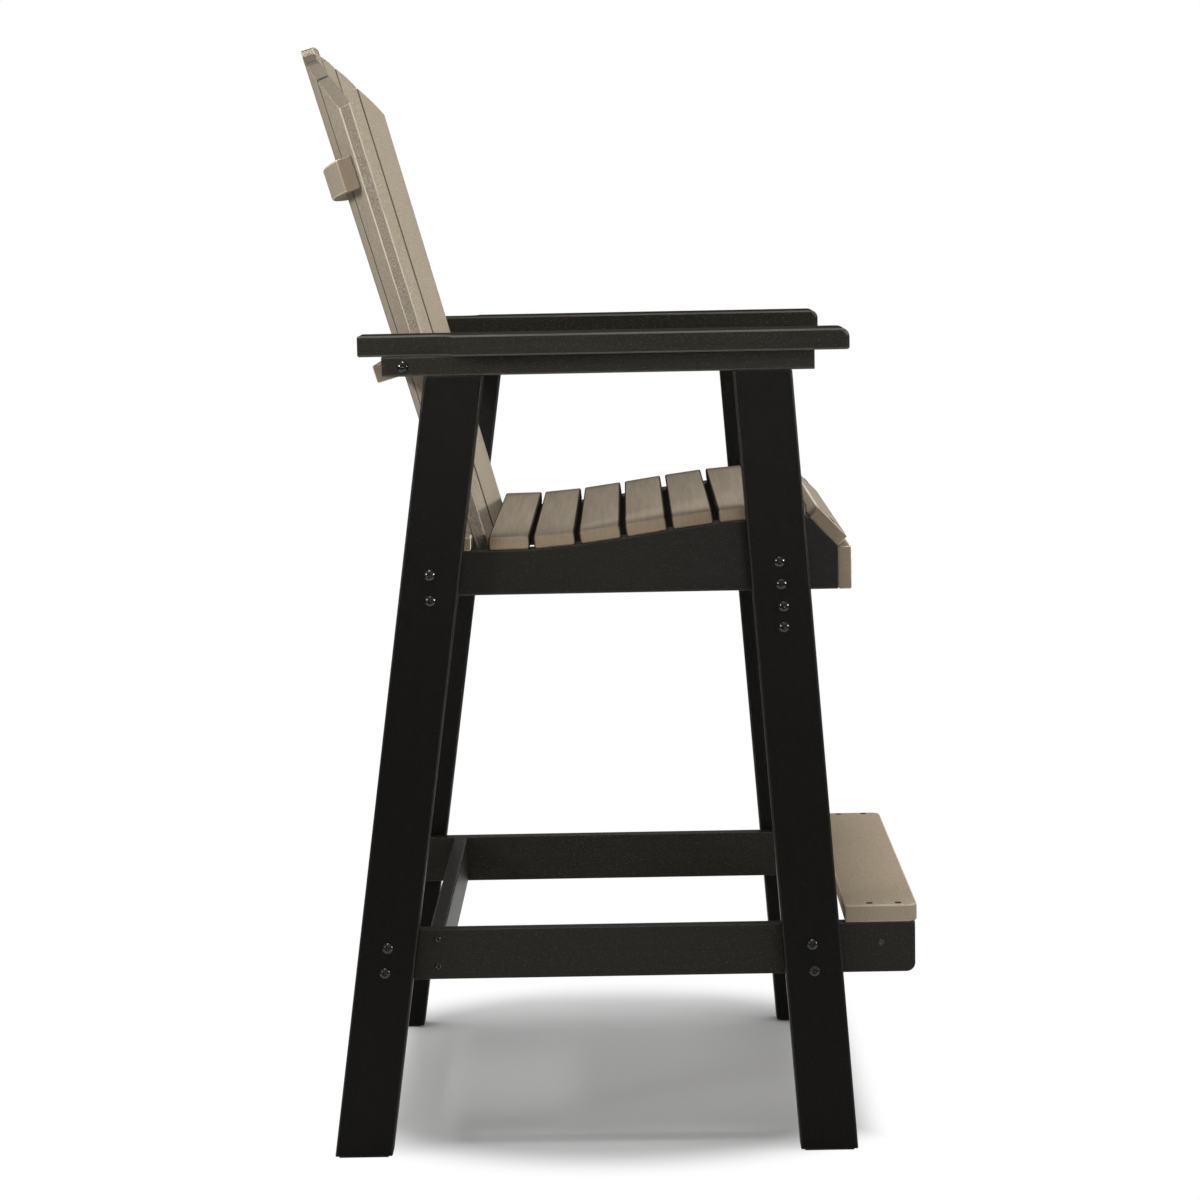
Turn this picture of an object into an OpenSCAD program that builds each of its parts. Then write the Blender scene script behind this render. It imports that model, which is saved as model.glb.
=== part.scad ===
// Bar-height armchair in board construction: splayed legs, fan-shaped slatted back, dished seat, footrest.
// Millimetres, +Z up, the chair faces -Y, "right" is the sitter's right (-X).
// Heights are laid out from the floor, depths from the front of the middle back slat at seat height.

/* [Legs] */
// Distance between the outer faces of the legs
legs_span = 640; // [560:2:720]
// Leg board thickness
leg_thick = 32; // [26:1:40]
// Leg board width
leg_width = 70; // [60:1:84]
// Lean of the rear legs in degrees
rear_leg_lean = 8; // [6:0.5:10]
// Lean of the front legs in degrees
front_leg_lean = 4.2; // [3:0.2:6]
// Distance of the rear legs' middle line behind the middle of the cross rail
rear_leg_set = 0.7; // [0:0.1:6]
// Distance of the front legs' middle line behind the seat's front edge, at the underside of the seat rails
front_leg_set = 35.2; // [28:0.2:46]
// Thickness of the glide under each leg
glide_thick = 2.5; // [2:0.5:5]
// Distance from the leg's sides to the glide
glide_inset = 5; // [3:0.5:9]

/* [Arms] */
// Height of the underside of the arms above the rear of the seat rails
arm_above = 237.2; // [200:0.1:280]
// Arm board thickness
arm_thick = 25; // [18:1:30]
// Arm board width
arm_width = 89; // [76:1:102]
// Overhang of the arm beyond the legs
arm_overhang = 27; // [15:1:40]
// Length of the narrowed rear part of the arm
arm_tail = 121; // [100:1:160]
// Share of the narrowing taken by the outer round
arm_round_share = 0.35; // [0.3:0.05:0.7]
// Radius of the arm's front corners
arm_corner = 6; // [3:1:30]
// Round of the arm's front edge, on top
arm_nose = 10; // [4:1:18]
// Height of the rail under the arm
arm_rail_high = 24; // [20:1:32]
// Width of the rail under the arm
arm_rail_wide = 45; // [38:1:52]
// Length of the arm rail in front of the front leg
rail_past_leg = 26.8; // [10:0.2:40]
// Length of the arm rail behind its bolt
rail_past_bolt = 25.2; // [15:0.2:40]
// Length of the arm in front of its rail
arm_past_rail = 40; // [10:1:60]
// Length of the arm behind its rail
tail_past_rail = 28; // [5:1:40]
// Gap between an arm and the back, at the underside of the arm
arm_fit = 1.5; // [1.2:0.1:6]

/* [Seat] */
// Height of the seat side rails at the rear of the seat
seat_low = 745.5; // [660:0.5:830]
// Depth of the seat side rails at the rear of the seat
seat_rail_deep = 54.5; // [47:0.5:64]
// Seat side rail thickness
seat_rail_thick = 32; // [28:1:38]
// Rise of the seat towards the front
seat_rise = 34; // [15:1:50]
// Distance from the rear edge of the first seat slat to where the rise starts
rise_start = 21.5; // [0:0.5:60]
// Distance from the seat's front edge to where the rise ends
rise_end = 26; // [0:0.5:60]
// Seat slat width
seat_slat_wide = 50; // [42:1:58]
// Gap between the seat slats
seat_slat_gap = 5.8; // [3:0.2:10]
// Gap between the last seat slat and the seat's front edge
nose_gap = 2.7; // [1:0.1:6]
// Slope of the front slat in degrees
nose_slope = 46; // [35:1:55]
// Slat thickness, seat and back
slat_thick = 16; // [14:1:19]
// Gap between the outer back slats and the first seat slat
seat_back_gap = 0.4; // [0.4:0.1:6]
// Distance from the outer back slats back to the front edge of the rear seat board
rear_board_set = 4.6; // [2:0.2:10]
// Depth of the rear seat board at its ends
rear_board_deep = 64; // [56:1:80]
// Thickness of the cross rail between the rear legs
cross_rail_thick = 32; // [28:1:40]
// Height of the cross rail between the rear legs
cross_rail_high = 64; // [56:1:74]
// Distance from the underside of the rear seat board down to the cross rail
cross_rail_drop = 8.5; // [4:0.5:12]
// Gap between the back slats and the cross rail
cross_rail_gap = 1.6; // [0.6:0.2:5]
// Thickness of the brace between the front legs
front_brace_thick = 32; // [26:1:38]
// Height of the brace between the front legs
front_brace_high = 50; // [42:1:64]

/* [Back] */
// Lean of the back in degrees
back_lean = 16.3; // [14:0.1:19]
// Turn from one back slat to the next in degrees
slat_turn = 5.1; // [4.2:0.1:5.8]
// Gap between the back slats, the same all the way up
slat_gap = 2.5; // [1:0.1:8]
// Fanning of the back's outer edges, sideways shift for each unit of length
fan_slope = 0.06; // [0.03:0.01:0.08]
// Height of the top of the middle slat above the underside of the arms
back_above = 372.3; // [320:0.1:430]
// Radius of the arch along the top of the back
arch_radius = 466; // [410:1:700]
// How far the middle slat stands above the arch
crown_rise = 8; // [3:0.5:14]
// Rounding of the middle slat's top corners
crown_corner = 8; // [3:0.5:14]
// Height of the slats' feet below the rear seat board
slat_foot = 41; // [20:1:60]
// Thickness of the curved upper back rail
upper_rail_thick = 18; // [14:1:24]
// Height of the curved upper back rail
upper_rail_high = 40; // [30:1:50]
// Distance down the middle slat from its top to the upper rail's middle
upper_rail_down = 165.3; // [145:0.1:200]
// Distance from the edge of the back to an end of the upper rail
upper_rail_inset = 9.7; // [4:0.1:24]
// Thickness of the lower back rail
lower_rail_thick = 22; // [18:1:25]
// Depth of the lower back rail behind the middle slat
lower_rail_deep = 13; // [11:0.2:24]
// Distance of the lower rail's ends in front of the middle slat's front face
tab_front = 14; // [12:0.5:16]
// Gap between the lower back rail and the arms above it
tab_gap = 0.2; // [0.2:0.1:2]

/* [Footrest] */
// Stretcher thickness
stretcher_thick = 19; // [16:1:25]
// Stretcher height
stretcher_high = 62; // [56:0.5:80]
// Height of the underside of the stretchers
stretcher_under = 216.3; // [150:0.1:300]
// Length of the side stretchers behind the middle of the rear legs
stretcher_past = 24; // [12:1:30]
// Radius of the lower front corner of a side stretcher
stretcher_corner = 11; // [5:1:25]
// Distance from the rear legs forward to the middle of the rear stretcher
rear_stretcher_set = 25.3; // [15:0.1:60]
// Footrest board width
footrest_wide = 89; // [78:1:104]
// Footrest board thickness
footrest_thick = 22; // [18:1:28]
// Gap between the front legs and the footrest board
footrest_gap = 8.4; // [3:0.2:30]
// Distance from the footrest's front edge back to the stretchers' ends
footrest_past = 3; // [0:0.5:10]
// Radius of the footrest's front corners
footrest_corner = 12; // [4:1:25]
// Height of the cross member under the footrest
cross_member_high = 50; // [40:1:56]
// Distance from the footrest's front edge to the middle of that cross member
cross_member_at = 45.5; // [40:0.5:52]

/* [Bolts] */
// Bolt shank diameter
bolt_dia = 8; // [6:0.5:9]
// Bolt head diameter
bolt_head = 14; // [12:0.5:16]
// Bolt head height
bolt_head_high = 4.4; // [3.5:0.1:5]
// Size of the hexagonal socket in a bolt head
bolt_socket = 5; // [3:0.5:6]
// Length that a bolt holds in the board it is screwed into from the side
bolt_hold = 15; // [10:1:16.5]
// Length that a bolt or screw holds in the end of a board
end_hold = 36; // [20:1:45]
// Underside of the stretchers to the lower bolt in a rear leg
rear_bolt_up = 16; // [9:0.5:22]
// Top of the stretchers to the upper bolt in a rear leg
rear_bolt_down = 15; // [9:0.5:22]
// Underside of the stretchers to the lower bolt in a front leg
front_bolt_up = 10; // [8:0.5:22]
// Top of the stretchers to the upper bolt in a front leg
front_bolt_down = 19; // [9:0.5:24]
// Top of the cross rail to its upper bolt
cross_bolt_down = 17; // [12:0.5:18]
// Underside of the cross rail to its lower bolt
cross_bolt_up = 16; // [8:0.5:18]
// Underside of the seat rails to the lower bolt in a front leg
seat_bolt_up = 11; // [8:0.5:14]
// Distance between the two bolts of a seat rail
seat_bolt_step = 27; // [16:0.5:34]
// Top of the front brace to its upper bolt
brace_bolt_down = 16; // [8:0.5:18]
// Underside of the front brace to its lower bolt
brace_bolt_up = 9; // [7:0.5:12]
// Front of the lower back rail's ends to the middle of their bolts
tab_bolt_in = 6; // [5.5:0.5:9]

/* [Screws] */
// Screw shank diameter
screw_dia = 4.5; // [3.5:0.5:5]
// Screw head diameter
screw_head = 8.5; // [7:0.5:9]
// Height of the countersunk screw head
screw_head_high = 3; // [2.5:0.5:4]
// Slack between a fastener and its hole
hole_slack = 0.4; // [0.2:0.1:0.6]
// Length that a screw holds in a slat
slat_hold = 11; // [6:1:12]
// Length that a screw holds in the slanted foot of a back slat
foot_hold = 9; // [5:1:11]
// Length that an arm's screw holds in the arm
arm_hold = 14; // [8:1:16]
// Length that a screw holds in the edge of a board
edge_hold = 22; // [14:1:28]
// Length that a screw holds in the end of a cross member
member_hold = 26; // [16:1:36]
// Thickness left in a seat rail under the head of a slat screw
screw_seat = 24; // [15:1:30]
// Sideways distance of the screws in a seat rail from its middle
screw_aside = 6; // [5.5:0.5:6.5]
// Upper bolt of the cross rail down to the first screw in that rail
cross_screw_down = 8.5; // [7:0.5:9]
// Distance between the two screws of a cross rail
cross_screw_step = 9; // [8.5:0.5:10]
// Distance of the leg top screws from the middle of the leg
leg_top_screw_out = 16; // [8:1:24]
// Front edge of the footrest to its first screw
footrest_screw_front = 23; // [12:1:28]
// Rear edge of the footrest to its second screw
footrest_screw_rear = 31; // [12:1:32]
// Underside of the stretchers to the lower screw of the rear stretcher
rear_screw_up = 16; // [8:1:24]
// Top of the stretchers to the upper screw of the rear stretcher
rear_screw_down = 12; // [7:1:24]
// Front edge of the rear seat board to its screws
rear_board_screw_in = 12; // [7:1:18]

/* [Hidden] */
$fn = 48;
round_fn = 240;
black = [0.09, 0.09, 0.085];
driftwood = [0.56, 0.49, 0.41];
steel = [0.25, 0.25, 0.25];
seat_slats = 7;
back_slats = 7;
arm_screws_in_arm = 3;
// Distance kept between a flat slat and a curved rail
rail_fit = 0.4;
// Distance kept between boards that pass each other
pass_fit = 0.5;
over = 1;

half = legs_span / 2;
inner = half - leg_thick;
seat_rail_under = seat_low - seat_rail_deep;
seat_rail_mid = inner - seat_rail_thick / 2;
arm_under = seat_low + arm_above;
leg_top = arm_under - arm_rail_high;
arm_outer = half + arm_overhang;
arm_inner = arm_outer - arm_width;
arm_round = arm_overhang * arm_round_share;
arm_hollow = arm_overhang - arm_round;
rail_inner = half - arm_rail_wide;

// The back is set out along its lean: u up the slats from the underside of the arms, v rearwards from the
// middle slat's front face. The slats stand on a cone; their width fills it up to the gap at their feet.
half_turn = slat_turn * (back_slats - 1) / 2;
slat_fill = tan(slat_turn / 2);
edge_share = sin(half_turn) + slat_fill * cos(half_turn);
cone = fan_slope / edge_share;
foot_u = -(arm_above + slat_foot) / cos(back_lean);
back_edge = arm_inner - arm_fit;
back_radius = (back_edge - slat_thick * sin(half_turn) + slat_gap / 2 * cos(half_turn)) / edge_share;
back_line = arm_above * tan(back_lean);
function radius_at(u) = back_radius + cone * u;
function slat_width(u) = 2 * slat_fill * radius_at(u) - slat_gap;
function turn(i) = (i - (back_slats + 1) / 2) * slat_turn;
// The edge of the outer slats' rear faces
function edge_at(u) = (radius_at(u) + slat_thick) * sin(half_turn) + slat_width(u) / 2 * cos(half_turn);
// A flat slat's rear corners lie this much further out than the middle of its rear face
function corner_rise(u) = sqrt(pow(radius_at(u) + slat_thick, 2) + pow(slat_width(u) / 2, 2))
    - radius_at(u) - slat_thick;
function rail_radius(u) = radius_at(u) + slat_thick + corner_rise(u) + rail_fit;
top_u = back_above / cos(back_lean);
widest = slat_width(top_u);
upper_rail_u = top_u - upper_rail_down;
upper_rail_half = edge_at(upper_rail_u) - upper_rail_inset;
lower_rail_u = -lower_rail_thick / 2 - (tab_gap + tab_front * sin(back_lean)) / cos(back_lean);
lower_rail_back = slat_thick + lower_rail_deep + rail_fit + corner_rise(lower_rail_u);
tab_inner = edge_at(lower_rail_u) + pass_fit;
tab_bolt_v = tab_bolt_in - tab_front;
tab_bolt_y = back_line + lower_rail_u * sin(back_lean) + tab_bolt_v * cos(back_lean);
seat_u = -arm_above / cos(back_lean);
rear_board_mid = seat_low + slat_thick / 2;
rear_board_u = (rear_board_mid - arm_under) / cos(back_lean);
// The outer slats' outer front corners at the height of the seat
outer_v = radius_at(seat_u) * (cos(half_turn) - 1) - slat_width(seat_u) / 2 * sin(half_turn);
outer_front = outer_v / cos(back_lean);
outer_rear = (outer_v + slat_thick * cos(half_turn)) / cos(back_lean);

// Seat, from the back towards the front
rear_board_front = outer_rear + rear_board_set;
cross_rail_top = seat_low - cross_rail_drop;
cross_rail_front = slat_thick / cos(back_lean) - cross_rail_drop * tan(back_lean) + cross_rail_gap;
cross_rail_mid = cross_rail_front + cross_rail_thick / 2;
first_slat = outer_front - seat_back_gap;
seat_front = first_slat - seat_slats * seat_slat_wide - (seat_slats - 1) * seat_slat_gap - nose_gap;
rise_from = first_slat - rise_start;
rise_to = seat_front + rise_end;
// Height of the seat rail's top edge at a depth y
function ease(t) = t <= 0 ? 0 : t >= 1 ? 1 : t * t * (3 - 2 * t);
function seat_z(y) = seat_low + seat_rise * ease((rise_from - y) / (rise_from - rise_to));
function slat_y(i) = first_slat - i * (seat_slat_wide + seat_slat_gap);
function slat_tilt(i) = asin((seat_z(slat_y(i) - seat_slat_wide) - seat_z(slat_y(i))) / seat_slat_wide);
function slat_end(i) = [slat_y(i) - seat_slat_wide * cos(slat_tilt(i)),
    seat_z(slat_y(i)) + seat_slat_wide * sin(slat_tilt(i))];
nose_z = slat_end(seat_slats - 1)[1];
nose_low = [seat_front - seat_slat_wide * cos(nose_slope), nose_z - seat_slat_wide * sin(nose_slope)];
apron_high = nose_low[1] - seat_rail_under - pass_fit;
bore_long = seat_rail_deep + seat_rise;

// Legs, from the seat frame
rear_tan = tan(rear_leg_lean);
front_tan = tan(front_leg_lean);
rear_leg_half = leg_width / cos(rear_leg_lean) / 2;
front_leg_half = leg_width / cos(front_leg_lean) / 2;
function rear_leg_y(z) = cross_rail_mid + rear_leg_set
    - (z - cross_rail_top + cross_rail_high / 2) * rear_tan;
function front_leg_y(z) = seat_front + front_leg_set + (z - seat_rail_under) * front_tan;
brace_y = front_leg_y(seat_rail_under - front_brace_high / 2);

// Arms, from the legs and the back
arm_rail_front = front_leg_y(leg_top) - front_leg_half - rail_past_leg;
arm_rail_rear = tab_bolt_y + rail_past_bolt;
arm_front = arm_rail_front - arm_past_rail;
arm_rear = arm_rail_rear + tail_past_rail;
arm_full_to = arm_rear - arm_tail;

// Footrest, from the legs
stretcher_top = stretcher_under + stretcher_high;
stretcher_mid = stretcher_under + stretcher_high / 2;
stretcher_inner = inner - stretcher_thick;
stretcher_rear = rear_leg_y(stretcher_mid) + stretcher_past;
rear_stretcher_y = rear_leg_y(stretcher_mid) - rear_leg_half - rear_stretcher_set;
footrest_rear = front_leg_y(stretcher_top) - front_leg_half - footrest_gap;
footrest_front = footrest_rear - footrest_wide;
stretcher_front = footrest_front + footrest_past;
cross_member_y = footrest_front + cross_member_at;

rear_tip = back_line + (top_u + crown_rise) * sin(back_lean) + slat_thick * cos(back_lean);
centre_y = (rear_tip + footrest_front) / 2;

// Bolts through the legs: [depth, height, length that holds behind the leg]
function in_rear_leg(z) = [rear_leg_y(z), z, bolt_hold];
function in_front_leg(z) = [front_leg_y(z), z, bolt_hold];
function leg_bolt_list() = [
    in_rear_leg(stretcher_under + rear_bolt_up), in_rear_leg(stretcher_top - rear_bolt_down),
    in_front_leg(stretcher_under + front_bolt_up), in_front_leg(stretcher_top - front_bolt_down),
    [cross_rail_mid, cross_rail_top - cross_bolt_down, end_hold],
    [cross_rail_mid, cross_rail_top - cross_rail_high + cross_bolt_up, end_hold],
    in_front_leg(seat_rail_under + seat_bolt_up),
    in_front_leg(seat_rail_under + seat_bolt_up + seat_bolt_step),
    [brace_y, seat_rail_under - brace_bolt_down, end_hold],
    [brace_y, seat_rail_under - front_brace_high + brace_bolt_up, end_hold]];

// Shapes and fasteners

// A plate standing in the y-z plane, from x0 outwards
module plate(x0, thick, points) {
    translate([x0, 0, 0]) rotate([90, 0, 90]) linear_extrude(thick) polygon(points);
}

// A box given by its lower and upper corner
module box(low, high) {
    translate(low) cube(high - low);
}

// Fasteners point along +Z into the material, from the surface at z = 0
module bolt(long) {
    color(steel) difference() {
        union() {
            cylinder(h = long, d = bolt_dia);
            intersection() {
                translate([0, 0, bolt_head - bolt_head_high]) sphere(r = bolt_head);
                translate([0, 0, -bolt_head_high]) cylinder(h = bolt_head_high, d = bolt_head);
            }
        }
        translate([0, 0, -bolt_head_high - over])
            cylinder(h = bolt_head_high * 0.6 + over, d = bolt_socket, $fn = 6);
    }
}

module bolt_hole(long) {
    translate([0, 0, -over]) cylinder(h = long + over + hole_slack, d = bolt_dia + hole_slack);
}

module screw(long) {
    color(steel) difference() {
        union() {
            cylinder(h = long, d = screw_dia);
            cylinder(h = screw_head_high, d1 = screw_head, d2 = screw_dia);
        }
        translate([0, 0, -over]) cylinder(h = screw_head_high * 0.5 + over, d = screw_dia * 0.5, $fn = 4);
    }
}

// The second length is a counterbore in front of the head
module screw_hole(long, bore = 1) {
    translate([0, 0, -bore]) cylinder(h = bore, d = screw_head + hole_slack);
    cylinder(h = screw_head_high, d1 = screw_head + hole_slack, d2 = screw_dia + hole_slack);
    cylinder(h = long + hole_slack, d = screw_dia + hole_slack);
}

// Turns +Z towards the middle of the chair on side s
module inward(s) {
    rotate([0, -s * 90, 0]) children();
}

module leg_bolts_set(s, hole = false) {
    for (b = leg_bolt_list()) {
        translate([s * half, b[0], b[1]]) inward(s)
            if (hole) bolt_hole(leg_thick + b[2]); else bolt(leg_thick + b[2]);
    }
}

module arm_rail_bolt(s, hole = false) {
    in_back() translate([s * half, tab_bolt_v, lower_rail_u]) inward(s)
        if (hole) bolt_hole(arm_rail_wide + end_hold); else bolt(arm_rail_wide + end_hold);
}

module footrest_screw_set(s, hole = false) {
    for (y = [footrest_front + footrest_screw_front, footrest_rear - footrest_screw_rear])
        translate([s * (inner - stretcher_thick / 2), y, stretcher_top + footrest_thick]) rotate([180, 0, 0])
            if (hole) screw_hole(footrest_thick + edge_hold); else screw(footrest_thick + edge_hold);
}

module stretcher_screw_set(s, hole = false) {
    for (p = [[rear_stretcher_y, stretcher_under + rear_screw_up],
            [rear_stretcher_y, stretcher_top - rear_screw_down],
            [cross_member_y, stretcher_top - cross_member_high / 2]])
        translate([s * inner, p[0], p[1]]) inward(s)
            if (hole) screw_hole(stretcher_thick + member_hold); else screw(stretcher_thick + member_hold);
}

// Seat slat screws come up through the side rails
module seat_slat_screw(s, i, hole = false) {
    slat_z = seat_z(slat_y(i));
    translate([s * (seat_rail_mid - screw_aside), slat_y(i), slat_z]) rotate([-slat_tilt(i), 0, 0])
        translate([0, -seat_slat_wide / 2, -screw_seat])
            if (hole) screw_hole(screw_seat + slat_hold, bore_long); else screw(screw_seat + slat_hold);
}

module rear_board_screw(s, hole = false) {
    y = rear_board_front + rear_board_screw_in;
    translate([s * (seat_rail_mid - screw_aside), y, seat_low - screw_seat])
        if (hole) screw_hole(screw_seat + slat_hold, bore_long); else screw(screw_seat + slat_hold);
}

module front_slat_screw_set(s, hole = false) {
    translate([s * seat_rail_mid, nose_low[0] - slat_thick, seat_rail_under + apron_high / 2])
        rotate([-90, 0, 0]) if (hole) screw_hole(slat_thick + edge_hold); else screw(slat_thick + edge_hold);
    translate([s * seat_rail_mid, seat_front, nose_z]) rotate([nose_slope, 0, 0])
        translate([0, -seat_slat_wide / 2, slat_thick]) rotate([180, 0, 0])
            if (hole) screw_hole(slat_thick + edge_hold); else screw(slat_thick + edge_hold);
}

// Arm screws come up through the arm rails
module arm_screw_set(s, hole = false) {
    from = front_leg_y(leg_top);
    step = (rear_leg_y(leg_top) - from) / (arm_screws_in_arm + 1);
    for (i = [1 : arm_screws_in_arm])
        translate([s * (half - arm_rail_wide / 2), from + i * step, leg_top])
            if (hole) screw_hole(arm_rail_high + arm_hold); else screw(arm_rail_high + arm_hold);
}

// Screws down through the arm rails into the tops of the legs
module leg_top_screw_set(s, hole = false) {
    for (y = [rear_leg_y(leg_top), front_leg_y(leg_top)], d = [-leg_top_screw_out, leg_top_screw_out])
        translate([s * (half - leg_thick / 2), y + d, arm_under]) rotate([180, 0, 0])
            if (hole) screw_hole(arm_rail_high + end_hold); else screw(arm_rail_high + end_hold);
}

module cross_rail_screw_set(s, hole = false) {
    for (i = [0, 1])
        translate([s * (seat_rail_mid + screw_aside), cross_rail_front + cross_rail_thick,
            cross_rail_top - cross_bolt_down - cross_screw_down - i * cross_screw_step]) rotate([90, 0, 0])
            if (hole) screw_hole(cross_rail_thick + end_hold); else screw(cross_rail_thick + end_hold);
}

// Places things in the leaning back: x across, y rearwards, z up the slats
module in_back() {
    translate([0, back_line, arm_under]) rotate([-back_lean, 0, 0]) children();
}

// Screws from behind into back slat i, square to its face, at distance u up the slats
module back_slat_screw(i, u, reach, hole = false) {
    r = radius_at(u);
    in_back() translate([0, -r, u]) rotate([0, 0, -turn(i)]) translate([0, r + slat_thick + reach, 0])
        rotate([90, 0, 0]) if (hole) screw_hole(reach + slat_hold, bore_long); else screw(reach + slat_hold);
}

// Level screws from behind through the rear seat board into back slat i
module rear_board_slat_screw(i, hole = false) {
    r = radius_at(rear_board_u);
    y = back_line + (rear_board_mid - arm_under) * tan(back_lean);
    reach = (r + slat_thick) * cos(turn(i)) - r;
    behind = y + reach / cos(back_lean) + lower_rail_deep;
    translate([(r + slat_thick) * sin(turn(i)), behind, rear_board_mid])
        rotate([90, 0, 0])
            if (hole) screw_hole(lower_rail_deep + foot_hold, bore_long);
            else screw(lower_rail_deep + foot_hold);
}

// Legs

module rear_leg(s) {
    color(black) difference() {
        plate(s > 0 ? inner : -half, leg_thick, [
            [rear_leg_y(glide_thick) - rear_leg_half, glide_thick],
            [rear_leg_y(glide_thick) + rear_leg_half, glide_thick],
            [rear_leg_y(leg_top) + rear_leg_half, leg_top],
            [rear_leg_y(leg_top) - rear_leg_half, leg_top]]);
        leg_bolts_set(s, true);
        leg_top_screw_set(s, true);
    }
}

module front_leg(s) {
    color(black) difference() {
        plate(s > 0 ? inner : -half, leg_thick, [
            [front_leg_y(glide_thick) - front_leg_half, glide_thick],
            [front_leg_y(glide_thick) + front_leg_half, glide_thick],
            [front_leg_y(leg_top) + front_leg_half, leg_top],
            [front_leg_y(leg_top) - front_leg_half, leg_top]]);
        leg_bolts_set(s, true);
        leg_top_screw_set(s, true);
    }
}

module glides() {
    color(black) for (s = [-1, 1]) {
        translate([s * (half - leg_thick / 2), 0, glide_thick / 2]) {
            translate([0, rear_leg_y(0), 0])
                cube([leg_thick - 2 * glide_inset, 2 * (rear_leg_half - glide_inset), glide_thick],
                    center = true);
            translate([0, front_leg_y(0), 0])
                cube([leg_thick - 2 * glide_inset, 2 * (front_leg_half - glide_inset), glide_thick],
                    center = true);
        }
    }
}

// Arms, drawn for the left side (+X) and mirrored for the right

module arm_plan() {
    difference() {
        union() {
            translate([arm_inner, arm_front + arm_corner])
                square([arm_width, arm_full_to - arm_front - arm_corner]);
            translate([arm_inner + arm_corner, arm_front])
                square([arm_width - 2 * arm_corner, arm_corner + over]);
            translate([arm_inner + arm_corner, arm_front + arm_corner]) circle(r = arm_corner);
            translate([arm_outer - arm_corner, arm_front + arm_corner]) circle(r = arm_corner);
            translate([arm_inner, arm_full_to - over])
                square([half - arm_inner, arm_rear - arm_full_to + over]);
            translate([half - over, arm_full_to - over])
                square([arm_hollow + over, arm_round + arm_hollow + over]);
            translate([arm_outer - arm_round, arm_full_to]) circle(r = arm_round);
        }
        translate([half + arm_hollow, arm_full_to + arm_round + arm_hollow]) circle(r = arm_hollow);
    }
}

module arm_nose_cut() {
    y = arm_front + arm_nose;
    z = arm_under + arm_thick - arm_nose;
    difference() {
        box([arm_inner - over, arm_front - over, z], [arm_outer + over, y, arm_under + arm_thick + over]);
        translate([arm_inner - 2 * over, y, z]) rotate([0, 90, 0])
            cylinder(r = arm_nose, h = arm_width + 4 * over, $fn = 96);
    }
}

module arm(s) {
    color(black) difference() {
        mirror([s > 0 ? 0 : 1, 0, 0]) difference() {
            translate([0, 0, arm_under]) linear_extrude(arm_thick) arm_plan();
            arm_nose_cut();
        }
        arm_screw_set(s, true);
    }
}

module arm_rail(s) {
    color(black) difference() {
        box([s > 0 ? rail_inner : -half, arm_rail_front, leg_top],
            [s > 0 ? half : -rail_inner, arm_rail_rear, arm_under]);
        arm_screw_set(s, true);
        leg_top_screw_set(s, true);
        arm_rail_bolt(s, true);
    }
}

// Seat frame and slats

module seat_rail(s) {
    color(black) difference() {
        plate(s > 0 ? inner - seat_rail_thick : -inner, seat_rail_thick, concat(
            [[cross_rail_front, seat_rail_under], [cross_rail_front, seat_low]],
            [for (i = [0 : seat_slats - 1], k = [0, 1])
                k == 0 ? [slat_y(i), seat_z(slat_y(i))] : slat_end(i)],
            [[seat_front, nose_z], nose_low, [nose_low[0], seat_rail_under]]));
        leg_bolts_set(s, true);
        for (i = [0 : seat_slats - 1]) seat_slat_screw(s, i, true);
        rear_board_screw(s, true);
        front_slat_screw_set(s, true);
        cross_rail_screw_set(s, true);
    }
}

module seat_slat(i) {
    color(driftwood) difference() {
        translate([0, slat_y(i), seat_z(slat_y(i))]) rotate([-slat_tilt(i), 0, 0])
            translate([-inner, -seat_slat_wide, 0]) cube([2 * inner, seat_slat_wide, slat_thick]);
        for (s = [-1, 1]) seat_slat_screw(s, i, true);
    }
}

// The rear seat board carries the feet of the back slats in its hollow front edge
module rear_seat_board() {
    color(driftwood) difference() {
        box([-inner, rear_board_front, seat_low],
            [inner, rear_board_front + rear_board_deep, seat_low + slat_thick]);
        in_back() translate([0, -radius_at(rear_board_u), rear_board_u - rear_board_deep])
            cylinder(h = 2 * rear_board_deep, r = rail_radius(rear_board_u), $fn = round_fn);
        for (s = [-1, 1]) rear_board_screw(s, true);
        for (i = [1 : back_slats]) rear_board_slat_screw(i, true);
    }
}

module front_slope_slat() {
    color(driftwood) difference() {
        translate([0, seat_front, nose_z]) rotate([nose_slope, 0, 0])
            translate([-inner, -seat_slat_wide, 0]) cube([2 * inner, seat_slat_wide, slat_thick]);
        for (s = [-1, 1]) front_slat_screw_set(s, true);
    }
}

module front_apron_slat() {
    color(driftwood) difference() {
        box([-inner, nose_low[0] - slat_thick, seat_rail_under],
            [inner, nose_low[0], seat_rail_under + apron_high]);
        for (s = [-1, 1]) front_slat_screw_set(s, true);
    }
}

module rear_seat_cross_rail() {
    color(black) difference() {
        box([-inner, cross_rail_front, cross_rail_top - cross_rail_high],
            [inner, cross_rail_front + cross_rail_thick, cross_rail_top]);
        for (s = [-1, 1]) {
            leg_bolts_set(s, true);
            cross_rail_screw_set(s, true);
        }
    }
}

module front_leg_brace() {
    color(black) difference() {
        box([-inner, brace_y - front_brace_thick / 2, seat_rail_under - front_brace_high],
            [inner, brace_y + front_brace_thick / 2, seat_rail_under]);
        for (s = [-1, 1]) leg_bolts_set(s, true);
    }
}

// Stretchers and footrest

module stretcher_outline() {
    difference() {
        translate([stretcher_front, stretcher_under])
            square([stretcher_rear - stretcher_front, stretcher_high]);
        translate([stretcher_front - over, stretcher_under - over])
            square([stretcher_corner + over, stretcher_corner + over]);
    }
    translate([stretcher_front + stretcher_corner, stretcher_under + stretcher_corner])
        circle(r = stretcher_corner);
}

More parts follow.
